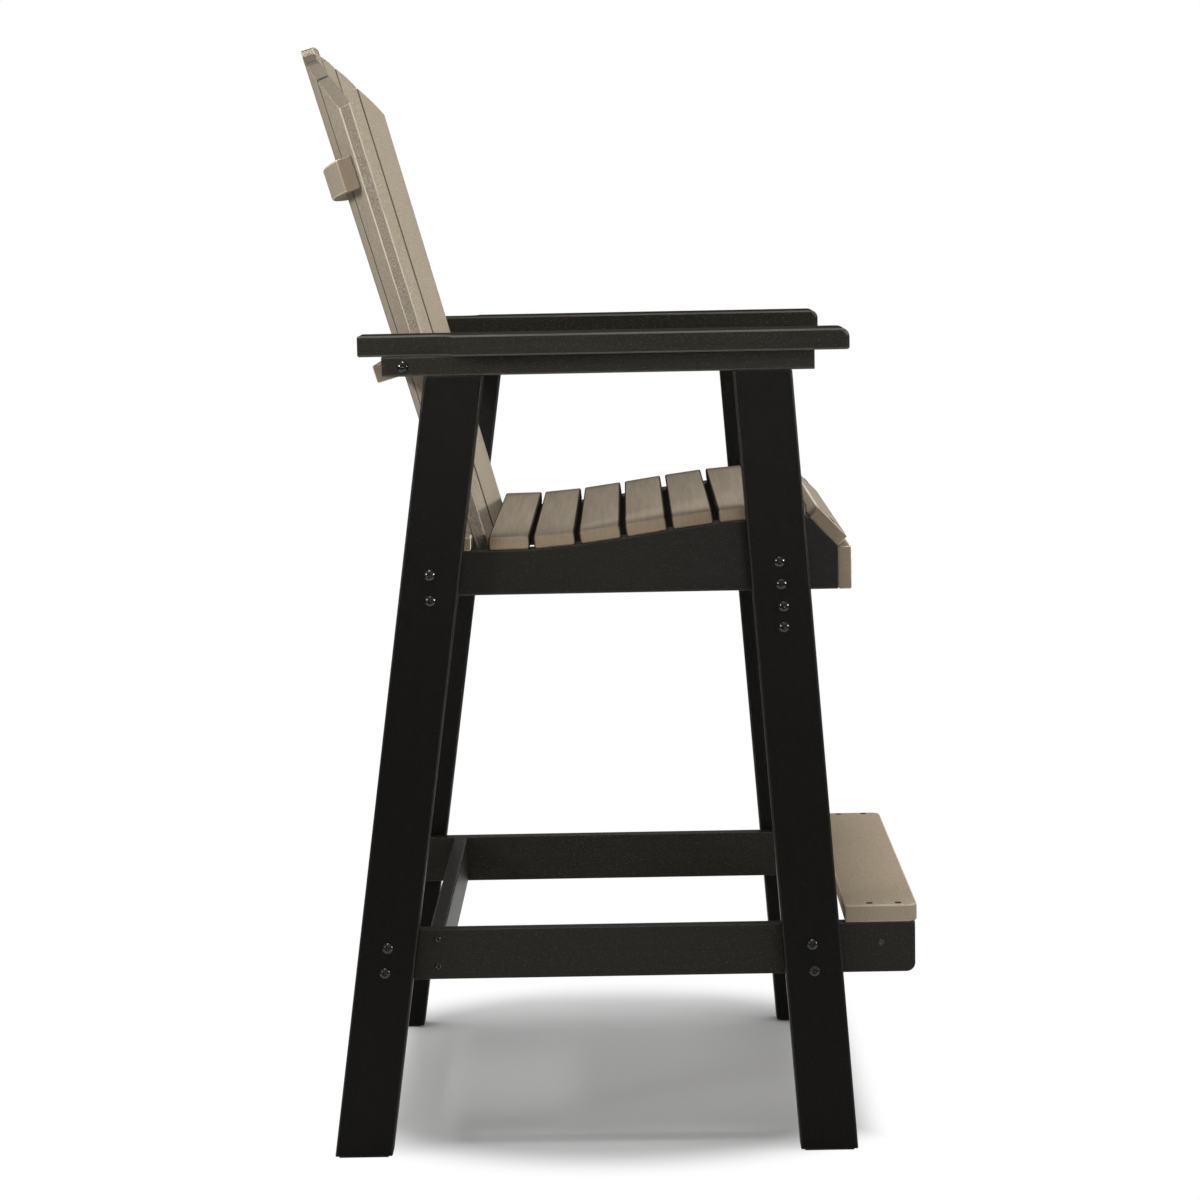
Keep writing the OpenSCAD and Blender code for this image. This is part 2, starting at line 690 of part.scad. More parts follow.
module side_stretcher(s) {
    color(black) difference() {
        translate([s > 0 ? stretcher_inner : -inner, 0, 0]) rotate([90, 0, 90])
            linear_extrude(stretcher_thick) stretcher_outline();
        leg_bolts_set(s, true);
        stretcher_screw_set(s, true);
        footrest_screw_set(s, true);
    }
}

module rear_stretcher() {
    color(black) difference() {
        box([-stretcher_inner, rear_stretcher_y - stretcher_thick / 2, stretcher_under],
            [stretcher_inner, rear_stretcher_y + stretcher_thick / 2, stretcher_top]);
        for (s = [-1, 1]) stretcher_screw_set(s, true);
    }
}

module footrest_cross_member() {
    color(black) difference() {
        box([-stretcher_inner, cross_member_y - stretcher_thick / 2, stretcher_top - cross_member_high],
            [stretcher_inner, cross_member_y + stretcher_thick / 2, stretcher_top]);
        for (s = [-1, 1]) stretcher_screw_set(s, true);
    }
}

module footrest_board() {
    color(driftwood) difference() {
        translate([0, 0, stretcher_top]) linear_extrude(footrest_thick) union() {
            translate([-inner, footrest_front + footrest_corner])
                square([2 * inner, footrest_wide - footrest_corner]);
            translate([-inner + footrest_corner, footrest_front])
                square([2 * (inner - footrest_corner), footrest_corner + over]);
            for (s = [-1, 1]) translate([s * (inner - footrest_corner), footrest_front + footrest_corner])
                circle(r = footrest_corner);
        }
        for (s = [-1, 1]) footrest_screw_set(s, true);
    }
}

// Back

// A slat's outline from a height up, wider towards the top
module slat_outline(low) {
    high = top_u + widest;
    polygon([[-slat_width(low) / 2, low], [slat_width(low) / 2, low], [slat_width(high) / 2, high],
        [-slat_width(high) / 2, high]]);
}

module arch_outline(rise) {
    translate([0, top_u + rise - arch_radius]) circle(r = arch_radius, $fn = round_fn);
    translate([-arch_radius, foot_u - widest])
        square([2 * arch_radius, top_u + rise - arch_radius - foot_u + widest]);
}

module crown_outline() {
    offset(r = crown_corner, $fn = 48) offset(delta = -crown_corner) intersection() {
        slat_outline(foot_u - 2 * crown_corner);
        arch_outline(crown_rise);
    }
}

module back_slat(i) {
    t = turn(i);
    tilt = atan(cone * (1 - cos(t)));
    fan = atan(cone * sin(t));
    color(driftwood) difference() {
        intersection() {
            in_back() translate([back_radius * sin(t), back_radius * (cos(t) - 1), 0])
                rotate([0, 0, -t]) rotate([-tilt, 0, 0]) rotate([0, fan, 0])
                    translate([0, slat_thick, 0]) rotate([90, 0, 0]) linear_extrude(slat_thick)
                        slat_outline(foot_u);
            in_back() translate([0, widest, 0]) rotate([90, 0, 0]) linear_extrude(3 * widest) {
                if (t == 0) crown_outline();
                else arch_outline(0);
            }
        }
        back_slat_screw(i, upper_rail_u, upper_rail_thick + rail_fit, true);
        back_slat_screw(i, lower_rail_u, lower_rail_deep, true);
        rear_board_slat_screw(i, true);
    }
}

module upper_back_rail() {
    r = rail_radius(upper_rail_u);
    color(driftwood) difference() {
        in_back() translate([0, 0, upper_rail_u - upper_rail_high / 2]) linear_extrude(upper_rail_high)
            intersection() {
                translate([0, -radius_at(upper_rail_u)]) difference() {
                    circle(r = r + upper_rail_thick, $fn = round_fn);
                    circle(r = r, $fn = round_fn);
                }
                translate([-upper_rail_half, -radius_at(upper_rail_u)]) square([2 * upper_rail_half, 2 * r]);
            }
        for (i = [1 : back_slats]) back_slat_screw(i, upper_rail_u, upper_rail_thick + rail_fit, true);
    }
}

module lower_back_rail() {
    color(driftwood) difference() {
        in_back() translate([0, 0, lower_rail_u - lower_rail_thick / 2]) linear_extrude(lower_rail_thick)
            difference() {
                translate([-rail_inner, -widest])
                    square([2 * rail_inner, lower_rail_back + widest]);
                translate([0, -radius_at(lower_rail_u)])
                    circle(r = rail_radius(lower_rail_u), $fn = round_fn);
                for (s = [0, 1]) mirror([s, 0]) translate([tab_inner, -widest - over])
                    square([rail_inner - tab_inner + over, widest + over - tab_front]);
            }
        for (s = [-1, 1]) arm_rail_bolt(s, true);
        for (i = [1 : back_slats]) back_slat_screw(i, lower_rail_u, lower_rail_deep, true);
    }
}

// Fastener groups

module leg_bolts() {
    for (s = [-1, 1]) leg_bolts_set(s);
}

module arm_rail_bolts() {
    for (s = [-1, 1]) arm_rail_bolt(s);
}

module footrest_screws() {
    for (s = [-1, 1]) footrest_screw_set(s);
}

module stretcher_screws() {
    for (s = [-1, 1]) stretcher_screw_set(s);
}

module seat_slat_screws() {
    for (s = [-1, 1]) {
        for (i = [0 : seat_slats - 1]) seat_slat_screw(s, i);
        rear_board_screw(s);
    }
}

module front_slat_screws() {
    for (s = [-1, 1]) front_slat_screw_set(s);
}

module back_slat_screws() {
    for (i = [1 : back_slats]) {
        back_slat_screw(i, upper_rail_u, upper_rail_thick + rail_fit);
        back_slat_screw(i, lower_rail_u, lower_rail_deep);
        rear_board_slat_screw(i);
    }
}

module arm_screws() {
    for (s = [-1, 1]) arm_screw_set(s);
}

module leg_top_screws() {
    for (s = [-1, 1]) leg_top_screw_set(s);
}

module cross_rail_screws() {
    for (s = [-1, 1]) cross_rail_screw_set(s);
}

translate([0, -centre_y, 0]) {
    front_leg(-1);  // leg_front_right
    front_leg(1);  // leg_front_left
    rear_leg(-1);  // leg_rear_right
    rear_leg(1);  // leg_rear_left
    glides();
    arm(-1);  // arm_right
    arm(1);  // arm_left
    arm_rail(-1);  // arm_rail_right
    arm_rail(1);  // arm_rail_left
    seat_rail(-1);  // seat_rail_right
    seat_rail(1);  // seat_rail_left
    rear_seat_cross_rail();
    front_leg_brace();
    side_stretcher(-1);  // side_stretcher_right
    side_stretcher(1);  // side_stretcher_left
    rear_stretcher();
    footrest_cross_member();
    footrest_board();
    seat_slat(0);  // seat_slat_1
    seat_slat(1);  // seat_slat_2
    seat_slat(2);  // seat_slat_3
    seat_slat(3);  // seat_slat_4
    seat_slat(4);  // seat_slat_5
    seat_slat(5);  // seat_slat_6
    seat_slat(6);  // seat_slat_7
    rear_seat_board();
    front_slope_slat();
    front_apron_slat();
    back_slat(1);  // back_slat_1
    back_slat(2);  // back_slat_2
    back_slat(3);  // back_slat_3
    back_slat(4);  // back_slat_4
    back_slat(5);  // back_slat_5
    back_slat(6);  // back_slat_6
    back_slat(7);  // back_slat_7
    upper_back_rail();
    lower_back_rail();
    leg_bolts();
    arm_rail_bolts();
    footrest_screws();
    stretcher_screws();
    seat_slat_screws();
    front_slat_screws();
    back_slat_screws();
    arm_screws();
    leg_top_screws();
    cross_rail_screws();
}
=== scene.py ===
"""Dresses the frame of a slatted bar armchair with boards, fastener heads and finishes, and lights it."""

import math
from types import SimpleNamespace

import bmesh
import bpy
import numpy as np
from mathutils import Matrix, Vector


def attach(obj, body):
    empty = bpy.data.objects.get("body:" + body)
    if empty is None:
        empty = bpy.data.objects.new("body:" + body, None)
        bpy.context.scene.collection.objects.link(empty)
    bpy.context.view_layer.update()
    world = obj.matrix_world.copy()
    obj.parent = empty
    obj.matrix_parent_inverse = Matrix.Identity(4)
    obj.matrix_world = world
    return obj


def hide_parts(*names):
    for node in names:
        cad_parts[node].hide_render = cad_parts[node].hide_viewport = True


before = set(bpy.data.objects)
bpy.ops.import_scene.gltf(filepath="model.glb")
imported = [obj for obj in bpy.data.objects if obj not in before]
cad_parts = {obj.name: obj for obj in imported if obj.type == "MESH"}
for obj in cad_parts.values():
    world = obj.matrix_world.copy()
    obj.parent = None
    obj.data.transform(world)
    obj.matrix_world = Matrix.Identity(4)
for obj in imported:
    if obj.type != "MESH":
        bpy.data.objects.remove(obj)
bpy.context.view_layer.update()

bl_info = {
    "name": "Slatted bar armchair",
    "version": (1, 0, 0),
    "blender": (4, 5, 0),
    "location": "View3D > Sidebar > Armchair",
    "description": "Dresses the frame of a slatted bar armchair with boards, fasteners and finishes",
    "category": "Object",
}

X, Y, Z = Vector((1, 0, 0)), Vector((0, 1, 0)), Vector((0, 0, 1))
SIDES = ((-1, "_right"), (1, "_left"))
SLATS = 7  # in the seat, and in the back

RAIL_FIT = 0.0004  # gap between the back slats and the boards behind them
PASS_FIT = 0.0005  # gap between boards that pass each other
TAB_BOLT_IN = 0.006  # from the front of the lower back rail's ends to their bolts
BORE_RADIUS = 0.00445  # of the bores that lead to hidden screws
BORE_LEAD = 0.01  # length of a bore's cutter in front of the board
REACH_BEHIND = 0.05  # depth behind the lower back rail from which its screws are bored
NEAR_RAIL = 0.004  # distance from the lower back rail's middle within which a screw is its own
LEVEL = 0.01  # rise of a level screw's direction, at most
HOLLOW_HALF = 0.28  # half the width on which the rear board's front edge follows the back


def length(name, text, value):
    return bpy.props.FloatProperty(
        name=name, description=text, default=value, min=0.0, precision=4, unit="LENGTH")


def angle(name, text, degrees):
    return bpy.props.FloatProperty(name=name, description=text, default=math.radians(degrees), subtype="ANGLE")


def share(name, text, value):
    return bpy.props.FloatProperty(
        name=name, description=text, default=value, min=0.0, max=1.0, subtype="FACTOR")


def number(name, text, value):
    return bpy.props.FloatProperty(name=name, description=text, default=value, min=0.0)


def colour(name, text, value):
    return bpy.props.FloatVectorProperty(
        name=name, description=text, default=value, size=3, min=0.0, max=1.0, subtype="COLOR")


class ChairSizes(bpy.types.PropertyGroup):
    """Sizes of the chair's boards, the same as those of its frame"""
    legs_span: length("Legs span", "Distance between the outer faces of the legs", 0.64)
    leg_thick: length("Leg thick", "Leg board thickness", 0.032)
    leg_width: length("Leg width", "Leg board width", 0.07)
    rear_leg_lean: angle("Rear leg lean", "Lean of the rear legs", 8)
    front_leg_lean: angle("Front leg lean", "Lean of the front legs", 4.2)
    rear_leg_set: length(
        "Rear leg set", "Distance of the rear legs' middle line behind the middle of the cross rail", 0.0007)
    front_leg_set: length(
        "Front leg set",
        "Distance of the front legs' middle line behind the seat's front edge, under the seat rails", 0.0352)
    glide_thick: length("Glide thick", "Thickness of the glide under each leg", 0.0025)
    arm_above: length("Arm above", "Height of the arms' underside above the rear of the seat rails", 0.2372)
    arm_thick: length("Arm thick", "Arm board thickness", 0.025)
    arm_width: length("Arm width", "Arm board width", 0.089)
    arm_overhang: length("Arm overhang", "Overhang of the arm beyond the legs", 0.027)
    arm_tail: length("Arm tail", "Length of the narrowed rear part of the arm", 0.121)
    arm_round_share: share("Arm round share", "Share of the narrowing taken by the outer round", 0.35)
    arm_corner: length("Arm corner", "Radius of the arm's front corners", 0.006)
    arm_rail_high: length("Arm rail high", "Height of the rail under the arm", 0.024)
    arm_rail_wide: length("Arm rail wide", "Width of the rail under the arm", 0.045)
    rail_past_leg: length("Rail past leg", "Length of the arm rail in front of the front leg", 0.0268)
    rail_past_bolt: length("Rail past bolt", "Length of the arm rail behind its bolt", 0.0252)
    arm_nose: length("Arm nose", "Round of the arm's front edge, on top", 0.01)
    arm_past_rail: length("Arm past rail", "Length of the arm in front of its rail", 0.04)
    tail_past_rail: length("Tail past rail", "Length of the arm behind its rail", 0.028)
    arm_fit: length("Arm fit", "Gap between an arm and the back, at the underside of the arm", 0.0015)
    seat_low: length("Seat low", "Height of the seat side rails at the rear of the seat", 0.7455)
    seat_rail_deep: length("Seat rail deep", "Depth of the seat side rails at the rear of the seat", 0.0545)
    seat_rail_thick: length("Seat rail thick", "Seat side rail thickness", 0.032)
    seat_rise: length("Seat rise", "Rise of the seat towards the front", 0.034)
    rise_start: length(
        "Rise start", "Distance from the rear edge of the first seat slat to where the rise starts", 0.0215)
    rise_end: length("Rise end", "Distance from the seat's front edge to where the rise ends", 0.026)
    seat_slat_wide: length("Seat slat wide", "Seat slat width", 0.05)
    seat_slat_gap: length("Seat slat gap", "Gap between the seat slats", 0.0058)
    nose_gap: length("Nose gap", "Gap between the last seat slat and the seat's front edge", 0.0027)
    nose_slope: angle("Nose slope", "Slope of the front slat", 46)
    slat_thick: length("Slat thick", "Slat thickness, seat and back", 0.016)
    seat_back_gap: length("Seat back gap", "Gap between the outer back slats and the first seat slat", 0.0004)
    rear_board_set: length(
        "Rear board set", "Distance from the outer back slats back to the front of the rear seat board", 0.0046)
    rear_board_deep: length("Rear board deep", "Depth of the rear seat board at its ends", 0.064)
    cross_rail_thick: length("Cross rail thick", "Thickness of the cross rail between the rear legs", 0.032)
    cross_rail_high: length("Cross rail high", "Height of the cross rail between the rear legs", 0.064)
    cross_rail_drop: length(
        "Cross rail drop", "Distance from the underside of the rear seat board down to the cross rail", 0.0085)
    cross_rail_gap: length("Cross rail gap", "Gap between the back slats and the cross rail", 0.0016)
    front_brace_thick: length("Front brace thick", "Thickness of the brace between the front legs", 0.032)
    front_brace_high: length("Front brace high", "Height of the brace between the front legs", 0.05)
    back_lean: angle("Back lean", "Lean of the back", 16.3)
    slat_turn: angle("Slat turn", "Turn from one back slat to the next", 5.1)
    slat_gap: length("Slat gap", "Gap between the back slats at their feet", 0.0025)
    fan_slope: share("Fan slope", "Fanning of the outer slats, sideways shift for each unit of length", 0.06)
    back_above: length(
        "Back above", "Height of the top of the middle slat above the underside of the arms", 0.3723)
    arch_radius: length("Arch radius", "Radius of the arch along the top of the back", 0.466)
    crown_rise: length("Crown rise", "How far the middle slat stands above the arch", 0.008)
    crown_corner: length("Crown corner", "Rounding of the middle slat's top corners", 0.008)
    slat_foot: length("Slat foot", "Height of the slats' feet below the rear seat board", 0.041)
    upper_rail_thick: length("Upper rail thick", "Thickness of the curved upper back rail", 0.018)
    upper_rail_high: length("Upper rail high", "Height of the curved upper back rail", 0.04)
    upper_rail_down: length(
        "Upper rail down", "Distance down the middle slat from its top to the upper rail's middle", 0.1653)
    upper_rail_inset: length(
        "Upper rail inset", "Distance from the edge of the back to an end of the upper rail", 0.0097)
    lower_rail_thick: length("Lower rail thick", "Thickness of the lower back rail", 0.022)
    lower_rail_deep: length("Lower rail deep", "Depth of the lower back rail behind the middle slat", 0.013)
    tab_front: length(
        "Tab front", "Distance of the lower rail's ends in front of the middle slat's front face", 0.014)
    tab_gap: length("Tab gap", "Gap between the lower back rail and the arms above it", 0.0002)
    stretcher_thick: length("Stretcher thick", "Stretcher thickness", 0.019)
    stretcher_high: length("Stretcher high", "Stretcher height", 0.062)
    stretcher_under: length("Stretcher under", "Height of the underside of the stretchers", 0.2163)
    stretcher_past: length(
        "Stretcher past", "Length of the side stretchers behind the middle of the rear legs", 0.024)
    stretcher_corner: length("Stretcher corner", "Radius of the lower front corner of a side stretcher", 0.011)
    rear_stretcher_set: length(
        "Rear stretcher set", "Distance from the rear legs forward to the middle of the rear stretcher", 0.0253)
    footrest_wide: length("Footrest wide", "Footrest board width", 0.089)
    footrest_thick: length("Footrest thick", "Footrest board thickness", 0.022)
    footrest_gap: length("Footrest gap", "Gap between the front legs and the footrest board", 0.0084)
    footrest_past: length(
        "Footrest past", "Distance from the footrest's front edge back to the stretchers' ends", 0.003)
    footrest_corner: length("Footrest corner", "Radius of the footrest's front corners", 0.012)
    cross_member_high: length("Cross member high", "Height of the cross member under the footrest", 0.05)
    cross_member_at: length(
        "Cross member at", "Distance from the footrest's front edge to the middle of that cross member", 0.0455)
    bolt_head: length("Bolt head", "Bolt head diameter", 0.014)
    bolt_head_high: length("Bolt head high", "Bolt head height", 0.0044)
    bolt_socket: length("Bolt socket", "Size of the hexagonal socket in a bolt head", 0.005)
    long_round: length("Long edge radius", "Radius of the rounded edges along a board", 0.0026)
    saw_round: length("Sawn edge radius", "Radius of the broken edges at a board's sawn ends", 0.0014)


class ChairFinish(bpy.types.PropertyGroup):
    """Colours and surface values of the chair's materials"""
    black: colour("Black board", "Colour of the black boards", (0.0105, 0.0088, 0.0052))
    black_pale: colour("Black board, pale", "Colour of the black boards' pale flecks", (0.075, 0.07, 0.06))
    black_rough: share("Black board roughness", "Mean roughness of the black boards", 0.36)
    taupe: colour("Taupe board", "Colour of the taupe boards", (0.262, 0.212, 0.152))
    taupe_dark: colour("Taupe board, dark", "Colour of the taupe boards' dark streaks", (0.17, 0.13, 0.088))
    taupe_pale: colour("Taupe board, pale", "Colour of the taupe boards' pale flecks", (0.5, 0.44, 0.35))
    taupe_cut: colour("Taupe board, sawn", "Colour of the taupe boards' sawn ends", (0.25, 0.192, 0.127))
    # Painted shade: darkens the legs against the other black boards, as the dark surroundings they face would.
    leg_painted_shade: number("Leg tone", "Brightness of the legs against the other black boards", 0.45)
    # Painted sheen: the arms are brighter than the other black boards, in place of the specular reflection
    # their finish leaves out.
    arm: colour("Arm", "Colour of the arms, duller than the other black boards", (0.0272, 0.0264, 0.0215))
    # Painted light: arm rails and stretchers brighter than the other black boards, for light that doesn't reach
    # them under the arms and seat.
    rail_painted_light: number("Rail tone", "Brightness of arm rails and stretchers against other black boards", 1.8)
    # Painted shade: the back slats' sawn tops, which face the lamp above, darker than the other sawn ends.
    slat_top_painted_shade: number("Slat top tone", "Brightness of the back slats' sawn tops against other sawn ends", 0.34)
    # Painted shade: the seat slats darker than the back's, for the shade of the arms and back over the seat.
    seat_painted_shade: number("Seat board tone", "Brightness of the seat slats against the back's", 0.58)
    # Part the footrest's own browner tone, part painted light: brighter than the back's boards.
    foot_tone_and_light: number("Footrest tone", "Brightness of the footrest board against the back's", 1.42)
    taupe_rough: share("Taupe board roughness", "Mean roughness of the taupe boards", 0.55)
    bolt: colour("Bolt", "Colour of the bolts' black coat", (0.005, 0.005, 0.005))
    bolt_rough: share("Bolt roughness", "Mean roughness of the bolts", 0.13)
    screw: colour("Screw", "Colour of the screws' dark coat", (0.05, 0.046, 0.04))
    emboss: share("Emboss", "Strength of the embossed grain", 0.45)


class StageValues(bpy.types.PropertyGroup):
    """Camera and lights"""
    lens: number("Focal length", "Focal length of the camera in millimetres on a 36 mm sensor", 92.486)
    eye: bpy.props.FloatVectorProperty(
        name="Camera place", description="Place of the camera", size=3, default=(-3.98801, -0.030903, 1.15752),
        subtype="TRANSLATION", unit="LENGTH")
    yaw: angle("Camera turn", "Turn of the camera from the +X axis", math.degrees(0.0102))
    pitch: angle("Camera tilt", "Downward tilt of the camera", math.degrees(0.1276))
    roll: angle("Camera roll", "Roll of the camera", math.degrees(-0.0196))
    zenith: number("Zenith strength", "Strength of the even light from straight above", 0.54)
    horizon: number("Horizon strength", "Strength of the even light from the horizon", 0.12)
    key: number("Key power", "Power of the large lamp above", 530.0)
    fill: number("Fill power", "Power of the narrow lamp level with the arms", 0.7)
    side: number("Side power", "Power of the narrow lamp behind the chair", 4.4)
    front: number("Front power", "Power of the narrow lamp in front of the chair", 6.2)


# Derived sizes

def value_names(group):
    return [name for name in group.bl_rna.properties.keys() if name not in ("rna_type", "name")]


def ease(t):
    t = min(max(t, 0.0), 1.0)
    return t * t * (3 - 2 * t)


def measure():
    """Works out the chair's derived sizes, in metres. Depths count from the layout's own line until settle."""
    sizes = bpy.context.scene.chair_sizes
    d = SimpleNamespace(**{name: getattr(sizes, name) for name in value_names(sizes)})
    d.half = d.legs_span / 2
    d.inner = d.half - d.leg_thick
    d.rail_under = d.seat_low - d.seat_rail_deep
    d.arm_under = d.seat_low + d.arm_above
    d.leg_top = d.arm_under - d.arm_rail_high
    d.arm_outer = d.half + d.arm_overhang
    d.arm_inner = d.arm_outer - d.arm_width
    d.rail_inner = d.half - d.arm_rail_wide
    measure_back(d)
    measure_seat(d)
    measure_legs(d)
    rear_tip = (d.back_line + (d.top_u + d.crown_rise) * math.sin(d.back_lean)
                + d.slat_thick * math.cos(d.back_lean))
    d.centre = (rear_tip + d.footrest_front) / 2
    return d


def measure_back(d):
    """The fan: u runs up the middle slat from the arms' underside, v back from its front face."""
    lean = d.back_lean
    d.turns = [(i - SLATS // 2) * d.slat_turn for i in range(SLATS)]
    end = d.turns[-1]
    fill = math.tan(d.slat_turn / 2)
    edge_share = math.sin(end) + fill * math.cos(end)
    d.cone = d.fan_slope / edge_share
    d.foot_u = -(d.arm_above + d.slat_foot) / math.cos(lean)
    d.back_radius = (d.arm_inner - d.arm_fit - d.slat_thick * math.sin(end)
                     + d.slat_gap / 2 * math.cos(end)) / edge_share
    d.back_line = d.arm_above * math.tan(lean)
    d.in_back = Matrix.Translation((0, d.back_line, d.arm_under)) @ Matrix.Rotation(-lean, 4, "X")
    d.radius_at = lambda u: d.back_radius + d.cone * u
    d.slat_width = lambda u: 2 * fill * d.radius_at(u) - d.slat_gap
    d.edge_at = lambda u: (d.radius_at(u) + d.slat_thick) * math.sin(end) + d.slat_width(u) / 2 * math.cos(end)
    d.rail_radius = lambda u: math.hypot(d.radius_at(u) + d.slat_thick, d.slat_width(u) / 2) + RAIL_FIT
    d.top_u = d.back_above / math.cos(lean)
    d.upper_u = d.top_u - d.upper_rail_down
    d.upper_half = d.edge_at(d.upper_u) - d.upper_rail_inset
    d.lower_u = -d.lower_rail_thick / 2 - (d.tab_gap + d.tab_front * math.sin(lean)) / math.cos(lean)
    d.lower_back = d.lower_rail_deep + d.rail_radius(d.lower_u) - d.radius_at(d.lower_u)
    d.tab_inner = d.edge_at(d.lower_u) + PASS_FIT
    d.tab_bolt_y = d.back_line + d.lower_u * math.sin(lean) + (TAB_BOLT_IN - d.tab_front) * math.cos(lean)
    d.board_u = (d.slat_thick / 2 - d.arm_above) / math.cos(lean)


def measure_seat(d):
    """The seat: its slats on the dished rails, the slope in front of them and the boards behind the back."""
    lean, end = d.back_lean, d.turns[-1]
    seat_u = -d.arm_above / math.cos(lean)
    outer_v = d.radius_at(seat_u) * (math.cos(end) - 1) - d.slat_width(seat_u) / 2 * math.sin(end)
    d.board_front = (outer_v + d.slat_thick * math.cos(end)) / math.cos(lean) + d.rear_board_set
    d.cross_top = d.seat_low - d.cross_rail_drop
    d.cross_front = d.slat_thick / math.cos(lean) - d.cross_rail_drop * math.tan(lean) + d.cross_rail_gap
    first = outer_v / math.cos(lean) - d.seat_back_gap
    step = d.seat_slat_wide + d.seat_slat_gap
    d.seat_front = first - (SLATS - 1) * step - d.seat_slat_wide - d.nose_gap
    from_y, to_y = first - d.rise_start, d.seat_front + d.rise_end

    def seat_z(y):
        return d.seat_low + d.seat_rise * ease((from_y - y) / (from_y - to_y))

    d.slats = []
    for y in [first - i * step for i in range(SLATS)]:
        tilt = math.asin((seat_z(y - d.seat_slat_wide) - seat_z(y)) / d.seat_slat_wide)
        d.slats.append((y, seat_z(y), tilt))
    y, z, tilt = d.slats[-1]
    d.nose_z = z + d.seat_slat_wide * math.sin(tilt)
    d.nose_low = (d.seat_front - d.seat_slat_wide * math.cos(d.nose_slope),
                  d.nose_z - d.seat_slat_wide * math.sin(d.nose_slope))


def measure_legs(d):
    """The legs' middle lines at a height, and what is set against them: arms, brace, stretchers, footrest."""
    rear_tan, front_tan = math.tan(d.rear_leg_lean), math.tan(d.front_leg_lean)
    d.rear_half = d.leg_width / math.cos(d.rear_leg_lean) / 2
    d.front_half = d.leg_width / math.cos(d.front_leg_lean) / 2
    cross_mid = d.cross_front + d.cross_rail_thick / 2
    d.rear_leg = lambda h: cross_mid + d.rear_leg_set - (h - d.cross_top + d.cross_rail_high / 2) * rear_tan
    d.front_leg = lambda h: d.seat_front + d.front_leg_set + (h - d.rail_under) * front_tan
    d.brace_y = d.front_leg(d.rail_under - d.front_brace_high / 2)
    d.arm_rail_front = d.front_leg(d.leg_top) - d.front_half - d.rail_past_leg
    d.arm_rail_rear = d.tab_bolt_y + d.rail_past_bolt
    d.arm_front = d.arm_rail_front - d.arm_past_rail
    d.arm_rear = d.arm_rail_rear + d.tail_past_rail
    d.stretcher_top = d.stretcher_under + d.stretcher_high
    middle = d.stretcher_under + d.stretcher_high / 2
    d.stretcher_inner = d.inner - d.stretcher_thick
    d.stretcher_rear = d.rear_leg(middle) + d.stretcher_past
    d.rear_stretcher = d.rear_leg(middle) - d.rear_half - d.rear_stretcher_set
    d.footrest_rear = d.front_leg(d.stretcher_top) - d.front_half - d.footrest_gap
    d.footrest_front = d.footrest_rear - d.footrest_wide


# Outlines

def arc(centre, radius, start, end, steps):
    """Points of an arc in a plane, angles in degrees."""
    angles = [math.radians(start + (end - start) * k / steps) for k in range(steps + 1)]
    return [(centre[0] + radius * math.cos(a), centre[1] + radius * math.sin(a)) for a in angles]


def bow(radius, middle, half, steps=24):
    """Points of an arc across the chair, to either side of its middle."""
    across = [half * (k / steps - 1) for k in range(2 * steps + 1)]
    return [(x, math.sqrt(radius * radius - x * x) - middle) for x in across]


def rectangle(across, up):
    return [(across[0], up[0]), (across[1], up[0]), (across[1], up[1]), (across[0], up[1])]


def pulled(outline, low, high):
    """Two rings of points: an outline in the yz plane pulled along x."""
    return [[Vector((x, y, z)) for y, z in outline] for x in (low, high)]


# Meshes

EDGE_ANGLE = math.radians(24)  # below it an edge belongs to a curve and stays as it is
ALONG = 0.9  # share of an edge's direction along the board from which it counts as a long edge
ROUND_ANGLE = math.radians(50)  # above it the end of a slat is rounded
FLAT_FACE = 0.965  # share of a face's direction along an axis of its board from which it is flat
SAWN_FACE = 0.75  # share of a face's direction along its board from which it is a sawn end
GAP_FACE = 0.6  # share of a face's direction towards the next board from which it is in the gap and gets a painted shade
STEEP, FLAT = 0.05, 0.995  # upward shares of a face's direction between which it is a round of a level board
BOARD_CREASE, HEAD_CREASE = 30.0, 25.0  # angles in degrees above which an edge is sharp
OUTER_GAP_SHADE = 0.3  # strength of the painted shade on the outermost faces against that on faces in a gap
GRAIN_SHIFT, GRAIN_STEPS = 1.37, (1.0, 0.37, 0.61)  # from the pattern of one board to the next
SEAT_GRAIN, BACK_GRAIN = 40, 60  # numbers of the first seat slat and the first back slat in that pattern


def link(name, data):
    """Adds a new object to the scene."""
    made = bpy.data.objects.new(name, data)
    bpy.context.scene.collection.objects.link(made)
    return made


def piece_of(shape, name, material):
    """Makes an object of a bmesh, with one material slot for its flat faces and one for the rounded ones."""
    mesh = bpy.data.meshes.new(name)
    shape.to_mesh(mesh)
    shape.free()
    for _ in ("flat", "rounded"):
        mesh.materials.append(material)
    return link(name, mesh)


def bake(piece):
    """Applies the piece's modifiers, so that it holds a plain mesh."""
    bpy.context.view_layer.update()
    graph = bpy.context.evaluated_depsgraph_get()
    solved = piece.evaluated_get(graph)
    plain = bpy.data.meshes.new_from_object(solved, preserve_all_data_layers=True, depsgraph=graph)
    piece.modifiers.clear()
    piece.data = plain
    return piece


def round_off(piece, name, width, segments, **limit):
    """Rounds the piece's edges. The new faces get its second material slot."""
    bevel = piece.modifiers.new(name, "BEVEL")
    bevel.width, bevel.segments, bevel.material = width, segments, 1
    for key, value in limit.items():
        setattr(bevel, key, value)


def axes_of(frames):
    return [np.array(matrix.to_3x3().transposed()) for matrix, _ in frames]


def inverse_of(frames):
    return [np.array(matrix.inverted()) for matrix, _ in frames]


